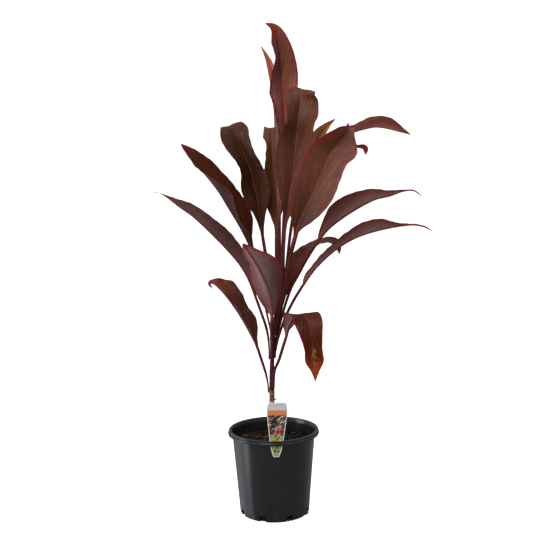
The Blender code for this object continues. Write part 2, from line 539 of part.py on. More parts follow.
def half_section(width, fold, trough):
    """One half of every section from the midrib out: run sideways, run upward and slope angle."""
    middle = (ACROSS[1:] + ACROSS[:-1]) / 2
    slope = np.radians(fold[:, None] + trough[:, None] * middle)
    step = width[:, None] * np.diff(ACROSS)
    start = np.zeros((len(width), 1))
    sideways = np.hstack([start, np.cumsum(np.cos(slope) * step, axis=1)])
    upward = np.hstack([start, np.cumsum(np.sin(slope) * step, axis=1)])
    angle = np.hstack([start, np.radians(fold[:, None] + trough[:, None] * ACROSS[1:])])
    return sideways, upward, angle


def leaf_sections(leaf, blade, petiole, run):
    """Sections from left margin to right: run sideways, run upward and slope angle, and the half-widths.

    A section is a trough up the petiole, which opens over its last quarter. In the blade each half leaves
    the midrib at its own fold angle.
    """
    keys, widths = zip((0, STALK), *leaf["widths"], (1, TIP))
    sheath = STALK * (1 - SHEATH_NARROWING * np.exp(-(run / SHEATH_LENGTH) ** 2))
    width = np.where(blade > 0, np.maximum(through_keys(keys, widths, blade)[:, 0], TIP), sheath)
    opening = np.clip(4 * petiole - 3, 0, 1)
    trough = TROUGH * (1 - opening)
    folds = np.array(leaf["folds"], float)
    fold = through_keys(folds[:, 0], folds[:, 1:], blade) * opening[:, None]
    left = half_section(width, fold[:, 0], trough)
    right = half_section(width, fold[:, 1], trough)
    joined = [np.hstack([sign * one[:, :0:-1], other]) for sign, one, other in zip((-1, 1, -1), left, right)]
    return *joined, width


def margin_waves(leaf, blade, column):
    """Waves square to each half, which grow towards the margin and fade out at both ends of the blade."""
    number, height, phase = leaf["waves"]
    swell = height * np.sin(np.pi * blade) ** 0.7
    left = swell * np.sin(2 * np.pi * (number * blade + phase))
    right = swell * np.sin(2 * np.pi * (number * WAVE_STEP * blade + phase + WAVE_SHIFT))
    return np.where(column < 0, left[:, None], right[:, None]) * np.abs(column) ** WAVE_POWER


def leaf_thickness(blade, in_blade, column):
    """Thickness, greatest along the midrib, which thins towards the tip."""
    ease = np.clip(blade / RIB_EASE, 0, 1)
    rib = STALK_MIDDLE + (BLADE_MIDDLE - STALK_MIDDLE) * ease + (BLADE_EDGE - BLADE_MIDDLE) * blade
    edge = np.where(in_blade, BLADE_EDGE, STALK_EDGE)
    narrowing = 1 + 2 * ease
    share = np.clip(1 - np.abs(column) * narrowing[:, None], 0, 1)
    return np.maximum(edge[:, None] + (rib - edge)[:, None] * share, BLADE_EDGE)


def keel_below(place, aside):
    """Depth of the rounded keel: its height times a bell curve of the distance from the midrib."""
    places, heights, widths = np.transpose(KEEL)
    bell = np.exp(-(aside / np.interp(place, places, widths)[:, None]) ** 2)
    return np.interp(place, places, heights)[:, None] * bell


def leaf_faces(leaf):
    """Upper and under face of a leaf as two matching grids of points.

    Rows run from the foot on the cane to the tip, and columns from the left margin to the right one.
    """
    out, foot = leaf_foot(leaf)
    route = foot + leaf["route"]
    length = midrib_curve(route, 0)[1]
    start = leaf["petiole"] / length
    at = np.concatenate([start * np.linspace(0, 1, PETIOLE_ROWS, endpoint=False) ** 1.2,
                         1 - (1 - start) * (1 - np.linspace(0, 1, BLADE_ROWS)) ** 1.12])
    blade = np.clip((at - start) / (1 - start), 0, 1)
    column = np.concatenate([-ACROSS[:0:-1], ACROSS])
    middle, right, up = leaf_frame(leaf, route, out, start, at)
    sideways, upward, angle, width = leaf_sections(leaf, blade, np.clip(at / start, 0, 1), at * length)
    wave = margin_waves(leaf, blade, column)
    sideways = sideways - wave * np.sin(angle)
    upward = upward + wave * np.cos(angle)
    points = middle[:, None] + sideways[..., None] * right[:, None] + upward[..., None] * up[:, None]
    normal = np.cos(angle)[..., None] * up[:, None] - np.sin(angle)[..., None] * right[:, None]
    half = leaf_thickness(blade, at >= start, column) / 2
    keel = keel_below(np.where(at < start, at / start - 1, blade), width[:, None] * column)
    return points + normal * half[..., None], points - normal * (half + keel)[..., None]


def closed_shell(front, back):
    """Points and triangles of both faces, split alike and mirrored about the midrib, and of the edge."""
    rows, columns = front.shape[:2]
    number = np.arange(rows * columns).reshape(rows, columns)
    a, b, c, d = number[:-1, :-1], number[:-1, 1:], number[1:, 1:], number[1:, :-1]
    on_right = (np.arange(columns - 1) >= columns // 2)[None, :, None]
    first = np.where(on_right, np.stack([a, b, c], axis=2), np.stack([a, b, d], axis=2))
    second = np.where(on_right, np.stack([a, c, d], axis=2), np.stack([b, c, d], axis=2))
    top = np.concatenate([first.reshape(-1, 3), second.reshape(-1, 3)])
    here = np.concatenate([number[0, :-1], number[:-1, -1], number[-1, :0:-1], number[:0:-1, 0]])
    after = np.roll(here, -1)
    under = rows * columns
    edge = [np.stack([after, here, here + under], axis=1),
            np.stack([after, here + under, after + under], axis=1)]
    points = np.concatenate([front.reshape(-1, 3), back.reshape(-1, 3)])
    return points, np.concatenate([top, top[:, ::-1] + under, *edge]).tolist()


def make_leaf(name, leaf, finish):
    """Leaf of one piece, its origin at the foot of its sheath."""
    points, faces = closed_shell(*leaf_faces(leaf))
    foot = points[:2 * len(ACROSS) - 1].mean(axis=0)
    return add_object(mesh_from_points(name, points - foot, faces), finish, at=foot, sharp_angle=60)


def build():
    """Make every piece and hang it from one empty."""
    clear_scene()
    finishes = {tone: material("leaf_" + tone, colour, 0.42) for tone, colour in TONES.items()}
    pieces = [make_pot(), make_potting_mix(), make_stem(), make_tag()]
    pieces += [make_leaf(name, leaf, finishes[leaf["tone"]]) for name, leaf in LEAVES.items()]
    plant = bpy.data.objects.new("ti_plant", None)
    bpy.context.collection.objects.link(plant)
    for piece in pieces:
        piece.parent = plant


build()
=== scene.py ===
"""Looks of a potted ti plant: sixteen veined leaves, a ringed cane, a black pot of bark mix and a tag.

Sizes and routes are in millimetres, which MM turns into metres. The pot stands on z = 0 with its axis on
+Z, and the plant's front faces -Y. The leaf table and its formulas are those of the solids, on finer grids.
"""

import bpy
import numpy as np
from mathutils import Matrix, Vector


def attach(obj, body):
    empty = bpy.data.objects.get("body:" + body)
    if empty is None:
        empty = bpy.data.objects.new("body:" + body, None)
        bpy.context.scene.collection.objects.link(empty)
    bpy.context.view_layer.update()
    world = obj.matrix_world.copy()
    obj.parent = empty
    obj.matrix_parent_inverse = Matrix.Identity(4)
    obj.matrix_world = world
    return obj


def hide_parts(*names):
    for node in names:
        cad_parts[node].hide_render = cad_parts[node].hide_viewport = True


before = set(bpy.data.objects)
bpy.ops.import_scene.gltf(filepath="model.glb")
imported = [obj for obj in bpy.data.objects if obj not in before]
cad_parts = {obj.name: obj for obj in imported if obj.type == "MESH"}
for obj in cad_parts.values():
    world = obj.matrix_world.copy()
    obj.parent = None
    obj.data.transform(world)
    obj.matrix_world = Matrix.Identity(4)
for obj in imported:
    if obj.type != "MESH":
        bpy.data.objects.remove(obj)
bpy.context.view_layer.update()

MM = 0.001
BODY = "root"
FULL_TURN = 2 * np.pi

# Degrees between faces past which the edge between them is drawn sharp
POT_SHARP, MIX_SHARP, LUMP_SHARP, TAG_SHARP, LEAF_SHARP = 32, 50, 40, 40, 60

# Pot
POT_SIDES = 192
POT_HEIGHT = 185.3
BASE_RADIUS = 76.2
BASE_CORNER = 3.2
FLOOR = 2.2
FLOOR_CORNER = 2.0
WALL = 1.8
WALL_TOP_RADIUS = 90.7
NECK_OUT, NECK_UP, NECK_TOP_OUT = 0.8, 3.2, 3.2
RIM_RADIUS = 100.0
RIM_BOTTOM = 175.3
RIM_DRAFT, RIM_LAND = 0.3, 2.0
LIP_RADIUS = 98.2
GROOVE_HEIGHT = 181.4
GROOVE_DEPTH, GROOVE_BELOW, GROOVE_ABOVE = 0.8, 1.6, 0.9
FLANGE = 2.3
SKIRT_INNER_RADIUS = 97.4
MOUTH_RADIUS = 92.4
MOUTH_STEP_OUT, MOUTH_STEP_UP = 1.0, 4.0
NOTCHES = 8
NOTCH_FIRST_ANGLE = 25.2
NOTCH_WIDTH = 14.5
NOTCH_HEIGHT = 13.5
NOTCH_INNER_RADIUS = 69.0
NOTCH_CORNER = 2.2
MOULDED_CORNER = 0.9
DUST_HEIGHT = 45.0
CUT_SPARE, NOTCH_BELOW = 10.0, -5.0

# Potting mix. Its ripples are (height, length, seed). The tones of its lumps follow a beta curve of
# TONE_SHAPE, get lighter over TONE_REACH to the left, and are pale for a PALE_SHARE of them
GAP = 0.3
SOIL_TOP = 155.0
SOIL_SIDES, SOIL_RINGS = 160, 64
HOLE_ROWS, SIDE_ROWS = 12, 24
SOIL_RIPPLES = ((1.7, 38, 11), (0.9, 13, 12), (0.5, 5, 13))
SOIL_EASE, CANE_CLEAR = 8.0, 7.0
CHIPS, CRUMBS = 1250, 2600
CHIP_REACH, LUMP_CLEAR = 86.0, 8.0
TONE_SHAPE, TONE_REACH, PALE_SHARE = 0.8, 45.0, 0.02
CRUMB_NOTCHES, NOTCH_CRUMBS, CRUMB_SPREAD = (295.2, 340.2), 26, 0.045

# Cane: rows of height, middle x, middle y and radius. Scars are (height, turn), and the flutes of its bark
# (height, number round, rise of a turn)
CANE = np.array([(30, -6, 0, 6.2), (200, -4, 0, 6.1), (262, -2.3, 0, 5.9), (320, -1.5, 0, 5.2),
                 (365, 1, 1.5, 4.4), (410, 5, 4, 3.6), (455, 9.5, 7, 3), (492, 14, 9, 2.4)])
CANE_SIDES, CANE_ROWS = 48, 370
SCARS = np.array([(160, 20), (168, 200), (175.5, 80), (184, 290), (191, 140), (199.5, 10), (207, 230),
                  (216, 110), (223, 320), (231.5, 170), (239, 40), (247.5, 260), (255.5, 130), (263, 350)])
HIGH_SCARS = np.arange(275, 480, 11.0)
HIGH_SCAR_TURN = 137.5
SCAR_TILT, SCAR_RELIEF, SCARS_FROM = 1.7, 0.5, 157.0
SCAR_LIP, SCAR_GROOVE, SCAR_GROOVE_LENGTH, SCAR_GROOVE_DROP = 0.8, 0.8, 1.1, 1.9
FLUTES, FLUTE_RELIEF = ((0.5, 7, 19), (0.3, 11, -8)), 0.12
BUD_HEIGHT, BUD_LENGTH, BUD_RADIUS, BUD_LEAN = 250.0, 4.2, 1.8, 70.0
BUD_SCAR = -0.6

# Plant tag: its foot passes the rim at TAG_RADIUS, and its outline is (height over the rim, half-width).
# Its print goes by height too: where panels fade together, where the band and the head start, and a rule
TAG_TURN = 3.8
TAG_LEAN = 1.8
TAG_RADIUS = 95.45
TAG_THICKNESS = 0.7
TAG_OUTLINE = [(-33.8, 4.8), (-32.6, 6.2), (-29.5, 7.8), (-21, 10.6), (-8.4, 12.7), (0, 14.2), (24, 17.5),
               (52, 20.8), (64.5, 21.8), (72, 21.4), (79, 19.6), (82.3, 17.4)]
TAG_ROWS, TAG_COLUMNS = 90, 25
LOWER_FADE, UPPER_FADE, BORDER_FADE = (10, 17), (22, 30), (1.9, 1.5)
BAND_FROM, HEAD_FROM, RULE_HEIGHT, RULE_HALF = 55.5, 66.0, 76.0, 0.55
SLOT_LENGTH = 29.4
SLOT_WIDTH = 1.4

# Leaves: half-widths, thicknesses and the angle of the petiole's trough
SHEATH_RISE = 13.0
SHEATH_OFFSETS = (2.2, 2.65)
SHEATH_NARROWING, SHEATH_LENGTH, SHEATH_SHARE, SHEATH_LIMIT = 0.06, 18.0, 0.12, 0.4
STALK = 3.2
STALK_MIDDLE, STALK_EDGE = 3.5, 1.8
TROUGH = 50.0
BLADE_MIDDLE, BLADE_EDGE = 1.7, 0.8
RIB_EASE = 0.12
TIP = 0.9
WAVE_STEP, WAVE_SHIFT, WAVE_POWER, WAVE_FADE = 1.13, 0.37, 2.2, 0.7
PETIOLE_ROWS, BLADE_ROWS, FOOT_CROWDING, TIP_CROWDING = 26, 104, 1.2, 1.12
ACROSS = np.linspace(0, 1, 21) ** 1.3
AHEAD = 0.003
MIDRIB_STEPS = 800

# Fine form of the leaves
RIB_ROUNDING = 1.6
CROWN, CROWN_FADE = 9.0, 0.5
# Keel under the stalk and midrib, by place: -1 at the foot, 0 where the blade starts and 1 at the tip.
# Each row is (place, height, width)
KEEL = [(-1, 0, 2.4), (-0.82, 0, 2.4), (-0.5, 2.4, 2.4), (0, 2.4, 2.4), (0.1, 1.7, 2.0), (0.4, 0.9, 1.6),
        (1, 0, 1.2)]
MARGIN_THICKNESS, MARGIN_TAPER = 0.35, 3.0
PLEAT_HEIGHT, PLEAT_LENGTH = 0.28, 27.0
RUFFLE_HEIGHT, RUFFLE_LENGTH, RUFFLE_POWER = 0.7, 21.0, 3
SECOND_RUFFLE, SECOND_RUFFLE_RATE = 0.6, 0.43
RELIEF_FADE = 0.6
VEIN_SLANT = 3.3
VEIN_SEED_STEP = 700.0
SIDE_EASE = 3.0

# Each leaf has its seat (height on the cane, turn from +X), the length of its petiole and its midrib's
# route. Along the blade, from 0 to 1, come the half-widths, the way its upper face looks and the angles
# at which its left and right halves fold up. Waves are (number, height, phase).
LEAVES = {
    "leaf_low_left": dict(
        seat=(266, 188), petiole=104,
        route=[(-15, 2, 311), (-25, 8, 342), (-34, 16, 367), (-47, 28, 390), (-67, 48, 422),
               (-89, 68, 452), (-112, 88, 478), (-132, 102, 495), (-141, 110, 497), (-136, 118, 479)],
        widths=[(0.08, 10), (0.15, 20), (0.3, 32), (0.5, 34), (0.65, 38), (0.77, 39), (0.83, 24),
                (0.88, 9), (0.95, 4)],
        faces=[(0, (0.8, -0.6, 0.4)), (0.3, (0.75, -0.5, 0.55)), (0.8, (0.5, -0.5, 0.75)),
               (0.92, (-0.4, -0.6, 0.5)), (1, (-0.9, -0.4, 0.1))],
        folds=[(0, 48, 45), (0.15, 49, 24), (0.3, 42, 28), (0.5, 40, 24), (0.65, 48, 24), (0.8, 40, 25),
               (0.9, 30, 30), (1, 20, 20)],
        waves=(2.5, 2.5, 0.2), tone="mauve"),
    "leaf_low_right_folded": dict(
        seat=(278, 300), petiole=130,
        route=[(5, -10, 318), (13, -18, 339), (40, -55, 426), (53, -74, 447), (64, -88, 451),
               (73, -99, 442), (81, -111, 405), (87, -112, 350), (88, -109, 315)],
        widths=[(0.06, 9), (0.1, 14.5), (0.15, 19), (0.23, 26), (0.3, 31), (0.36, 30), (0.42, 30),
                (0.5, 28), (0.6, 23.5), (0.7, 19.5), (0.83, 18.5), (0.9, 9.5), (0.95, 5)],
        faces=[(0, (-0.4, 0.7, 0.4)), (0.15, (-0.35, 0.5, 0.8)), (0.27, (0.15, 0, 1)),
               (0.33, (0.15, -0.3, 1)), (0.5, (0.1, -1, 0.2)), (1, (0.1, -1, -0.1))],
        folds=[(0, 48, 30), (0.08, 18, 25), (0.15, 12, 18), (0.3, -5, 5), (0.6, 20, 12), (1, 12, 12)],
        waves=(2.5, 3, 0.1), tone="amber"),
    "leaf_front_mauve": dict(
        seat=(314, 262), petiole=126,
        route=[(-1, -11, 362), (-1, -16, 403), (0, -24, 439), (-2, -42, 476), (-6, -58, 499),
               (-15, -76, 524), (-28, -96, 554), (-43, -115, 582), (-55, -130, 602)],
        widths=[(0.07, 13), (0.13, 18), (0.2, 25), (0.32, 33), (0.48, 43), (0.65, 41), (0.83, 19),
                (0.93, 9)],
        faces=[(0, (0, 1, 0.3)), (0.5, (-0.35, 1, 0.3)), (1, (-0.5, 1, 0.5))],
        folds=[(0, 30, 30), (0.15, 33, 15), (0.32, 35, 42), (0.48, 8, 74), (0.65, 5, 78), (0.83, 15, 55),
               (1, 20, 40)],
        waves=(2.5, 2.5, 0), tone="mauve"),
    "leaf_left_long": dict(
        seat=(340, 192), petiole=143,
        route=[(-10, -4, 403), (-22, -8, 445), (-42, -12, 502), (-59, -13, 537), (-79, -13, 565),
               (-162, -8, 650), (-192, -6, 672), (-234, -4, 703), (-251, -4, 706)],
        widths=[(0.1, 14), (0.2, 23), (0.3, 29), (0.45, 34), (0.6, 32), (0.75, 24), (0.88, 9), (0.94, 2)],
        faces=[(0, (0.8, 0.1, 0.6)), (0.3, (0.6, 0.35, 1)), (0.7, (0.4, 0.2, 1)), (1, (0.3, 0, 1))],
        folds=[(0, 50, 50), (0.2, 54, 52), (0.6, 54, 52), (0.8, 54, 52), (1, 45, 45)],
        waves=(2.5, 1.6, 0.2), tone="mauve"),
    "leaf_right_long_lower": dict(
        seat=(343, 340), petiole=176,
        route=[(32, -7, 441), (100, -16, 544), (179, -22, 602), (295, -28, 628), (324, -28, 624),
               (343, -28, 615)],
        widths=[(0.05, 12), (0.15, 18), (0.3, 24), (0.45, 27), (0.57, 28), (0.66, 26), (0.75, 13),
                (0.85, 5), (0.93, 4)],
        faces=[(0, (-0.7, 0.3, 0.7)), (0.35, (-0.3, 0.45, 1)), (1, (0.1, 0.3, 1))],
        folds=[(0, 50, 50), (0.12, 50, 25), (0.3, 45, 15), (0.42, 50, 32), (0.55, 50, 50), (0.68, 50, 50),
               (0.8, 45, 45), (1, 45, 45)],
        waves=(2.5, 1.6, 0.2), tone="mauve"),
    "leaf_right_long_upper": dict(
        seat=(357, 44), petiole=262,
        route=[(41, 2, 493), (56, 0, 521), (87, -6, 576), (127, -10, 625), (218, -16, 681),
               (254, -18, 690), (285, -20, 700), (304, -20, 700), (321, -20, 689)],
        widths=[(0.05, 11), (0.15, 25), (0.25, 38), (0.35, 41), (0.45, 38), (0.55, 30), (0.65, 20),
                (0.75, 13), (0.85, 4.5), (0.93, 3)],
        faces=[(0, (-0.7, 0.3, 0.7)), (0.35, (-0.3, 0.45, 1)), (1, (0.1, 0.3, 1))],
        folds=[(0, 50, 50), (0.3, 52, 50), (0.6, 52, 50), (0.8, 45, 45), (1, 40, 40)],
        waves=(2.5, 1.6, 0.2), tone="mauve"),
    "leaf_rear_right_olive": dict(
        seat=(372, 104), petiole=109,
        route=[(13, 12, 415), (19, 16, 445), (36, 23, 497), (55, 30, 540), (77, 42, 573), (93, 51, 583),
               (109, 60, 589), (128, 69, 590), (144, 77, 585), (152, 83, 572), (154, 86, 560)],
        widths=[(0.05, 9), (0.15, 18), (0.25, 21.5), (0.45, 20), (0.62, 19), (0.75, 17), (0.85, 16),
                (0.92, 12), (0.96, 7)],
        faces=[(0, (-0.3, -1, 0.1)), (0.3, (-0.3, -1, 0.4)), (0.6, (-0.4, -0.6, 0.8)),
               (0.8, (0, -0.5, 1)), (1, (0.8, -0.7, 0.2))],
        folds=[(0, 45, 45), (0.15, 25, 45), (0.3, 8, 30), (0.45, 0, 25), (0.65, 0, 20), (0.75, 0, 24),
               (0.85, 16, 5), (1, 25, 15)],
        waves=(2.5, 2, 0.2), tone="olive"),
    "leaf_left_spear": dict(
        seat=(382, 190), petiole=178,
        route=[(-7, 6, 421), (-20, 9, 491), (-28, 9, 530), (-40, 7, 574), (-53, 5, 605), (-69, 2, 636),
               (-90, -1, 672), (-108, -4, 703), (-127, -7, 729), (-145, -10, 751), (-161, -13, 771),
               (-185, -17, 806)],
        widths=[(0.08, 9), (0.15, 16), (0.25, 34), (0.36, 45), (0.46, 46), (0.56, 42), (0.66, 37),
                (0.75, 35), (0.82, 30), (0.9, 21), (0.96, 10)],
        faces=[(0, (0.8, -0.1, 0.5)), (0.4, (0.75, -0.45, 0.5)), (0.7, (0.6, -0.6, 0.6)),
               (1, (0.4, -0.8, 0.5))],
        folds=[(0, 48, 45), (0.15, 58, 41), (0.25, 42, 38), (0.4, 46, 30), (0.55, 60, 28), (0.67, 52, 22),
               (0.82, 40, 19), (0.9, 45, 17), (1, 40, 15)],
        waves=(2, 2.5, 0.2), tone="mauve"),
    "leaf_front_broad": dict(
        seat=(392, 310), petiole=225,
        route=[(27, -15, 493), (55, -36, 622), (96, -47, 714), (124, -43, 775), (141, -35, 802),
               (170, -7, 834), (170, 6, 824), (169, 16, 807), (185, 23, 796), (206, 27, 792),
               (208, 29, 779)],
        widths=[(0.05, 10), (0.1, 23), (0.2, 43), (0.3, 51), (0.4, 49), (0.5, 51), (0.58, 49), (0.64, 43),
                (0.68, 32), (0.72, 16), (0.77, 9), (0.83, 6), (0.88, 7), (0.94, 11)],
        faces=[(0, (0, -1, 0)), (0.5, (0, -1, 0.1)), (0.68, (0, -1, 0.4)), (0.8, (-0.2, -0.3, 1)),
               (1, (0.3, 0.5, 0.8))],
        folds=[(0, 30, 30), (0.12, 18, 35), (0.3, 20, 33), (0.4, 20, 36), (0.5, 32, 36), (0.57, 66, 8),
               (0.64, 92, -10), (0.69, 102, -10), (0.73, 80, 0), (0.78, 30, 10), (0.84, 15, 15),
               (1, 20, 20)],
        waves=(2.5, 2.5, 0.2), tone="bronze"),
    "leaf_left_arching": dict(
        seat=(403, 141), petiole=205,
        route=[(0, 14, 448), (-6, 24, 528), (-16, 36, 595), (-25, 46, 663), (-33, 55, 711),
               (-44, 64, 755), (-60, 74, 795), (-75, 84, 826), (-85, 95, 845), (-92, 107, 849),
               (-91, 121, 833), (-87, 133, 804), (-79, 141, 775)],
        widths=[(0.05, 6), (0.1, 12), (0.15, 20), (0.2, 29), (0.3, 36), (0.4, 32), (0.5, 31), (0.6, 36),
                (0.66, 36), (0.71, 29), (0.76, 19), (0.82, 12), (0.9, 7)],
        faces=[(0, (0, -1, 0)), (0.5, (0.2, -1, 0.1)), (0.68, (0.2, -0.8, 0.6)), (0.76, (0, -0.1, 1)),
               (0.9, (-0.1, 0.9, 0.4)), (1, (-0.1, 0.9, 0.4))],
        folds=[(0, 40, 40), (0.1, 50, 45), (0.2, 40, 35), (0.3, 28, 33), (0.4, 35, 43), (0.5, 28, 57),
               (0.6, 12, 56), (0.7, 3, 38), (0.76, -8, 28), (0.85, 15, 15), (1, 30, 30)],
        waves=(2.5, 2.5, 0.2), tone="olive"),
    "leaf_rear_olive": dict(
        seat=(422, 78), petiole=188,
        route=[(12, 23, 473), (12, 36, 549), (12, 66, 651), (5, 99, 795), (2, 124, 845), (2, 140, 837),
               (-1, 154, 815), (-4, 164, 779)],
        widths=[(0.06, 5), (0.12, 12), (0.22, 23), (0.34, 29), (0.45, 28), (0.55, 22), (0.6, 18),
                (0.68, 18), (0.73, 15), (0.85, 9)],
        faces=[(0, (0, -1, 0)), (0.6, (0, -1, 0.2)), (0.72, (0, -0.2, 1)), (0.85, (0, 0.9, 0.4)),
               (1, (0, 0.9, 0.4))],
        folds=[(0, 40, 40), (0.12, 35, 35), (0.3, 25, 15), (0.45, 45, 15), (0.55, 58, 15), (0.62, 58, 15),
               (0.7, 5, 10), (0.8, 20, 15), (1, 25, 25)],
        waves=(2.5, 2.5, 0.2), tone="olive"),
    "leaf_front_tall": dict(
        seat=(420, 290), petiole=201,
        route=[(20, -6, 470), (30, -20, 618), (50, -22, 754), (65, -11, 877), (70, -6, 905),
               (77, -1, 916), (84, 11, 901), (88, 22, 851)],
        widths=[(0.06, 4.5), (0.12, 12), (0.22, 26), (0.34, 40), (0.45, 44), (0.57, 43), (0.66, 42),
                (0.71, 40), (0.76, 36), (0.81, 26), (0.87, 14), (0.94, 6)],
        faces=[(0, (0, -1, 0)), (0.5, (0, -1, 0.05)), (0.7, (0, -1, 0.35)), (0.8, (-0.1, -0.1, 1)),
               (0.92, (0.2, 0.9, 0.4)), (1, (0.2, 0.9, 0.4))],
        folds=[(0, 40, 40), (0.12, 50, 35), (0.25, 25, 40), (0.4, 18, 36), (0.52, 38, 34), (0.6, 62, 35),
               (0.66, 55, 12), (0.73, 35, 2), (0.8, 20, -12), (1, 30, 10)],
        waves=(2.5, 2.2, 0.2), tone="bronze"),
    "leaf_small_bronze": dict(
        seat=(441, 17), petiole=258,
        route=[(27, 34, 500), (48, 63, 635), (71, 75, 732), (106, 80, 815), (126, 80, 842),
               (146, 80, 860)],
        widths=[(0.15, 9), (0.35, 15), (0.6, 18), (0.8, 14), (0.92, 6)],
        faces=[(0, (-0.3, -1, 0)), (1, (-0.5, -0.8, 0.2))],
        folds=[(0, 45, 45), (0.5, 50, 12), (1, 35, 30)],
        waves=(2, 1.2, 0.2), tone="olive"),
    "leaf_upper_right": dict(
        seat=(456, 307), petiole=280,
        route=[(31, 3, 513), (41, 9, 555), (65, 25, 641), (83, 33, 688), (105, 39, 744), (132, 46, 791),
               (159, 51, 818), (212, 58, 836), (238, 59, 839), (311, 60, 822)],
        widths=[(0.12, 11), (0.25, 17), (0.4, 20), (0.55, 20), (0.7, 29), (0.85, 27), (0.93, 16)],
        faces=[(0, (-0.6, -0.8, 0.1)), (0.35, (-0.5, -0.5, 0.6)), (0.6, (-0.2, 0, 1)), (1, (0.2, 0, 1))],
        folds=[(0, 50, 50), (0.4, 50, 30), (0.6, 56, 30), (0.8, 70, 30), (1, 40, 35)],
        waves=(2, 1.4, 0.2), tone="bronze"),
    "leaf_top_rear": dict(
        seat=(460, 130), petiole=199,
        route=[(19, 25, 519), (19, 33, 558), (20, 47, 651), (27, 58, 793), (26, 60, 880), (19, 59, 927),
               (10, 57, 961), (-1, 54, 990), (-14, 50, 1014)],
        widths=[(0.1, 8), (0.3, 15), (0.5, 17), (0.7, 15), (0.85, 10), (0.93, 5)],
        faces=[(0, (-0.3, -1, 0)), (1, (-0.3, -1, 0.1))],
        folds=[(0, 45, 45), (0.5, 40, 40), (1, 20, 20)],
        waves=(2, 1.2, 0.2), tone="bronze"),
    "leaf_top_spear": dict(
        seat=(474, 30), petiole=182,
        route=[(26, 20, 587), (35, 31, 770), (32, 38, 882), (28, 38, 928), (21, 32, 1030), (11, 30, 1049),
               (-4, 28, 1059)],
        widths=[(0.08, 7), (0.2, 14), (0.35, 22), (0.5, 30), (0.62, 38), (0.75, 39), (0.86, 29),
                (0.93, 16), (0.97, 8)],
        faces=[(0, (-0.2, -1, 0)), (0.7, (-0.1, -1, 0)), (0.9, (0, -1, 0.3)), (1, (0.1, -1, 0.6))],
        folds=[(0, 45, 45), (0.2, 50, 50), (0.4, 64, 50), (0.54, 64, 38), (0.62, 52, 28), (0.7, 64, 18),
               (0.8, 80, 22), (0.9, 50, 35), (1, 30, 30)],
        waves=(3, 2.2, 0.2), tone="bronze"),
}

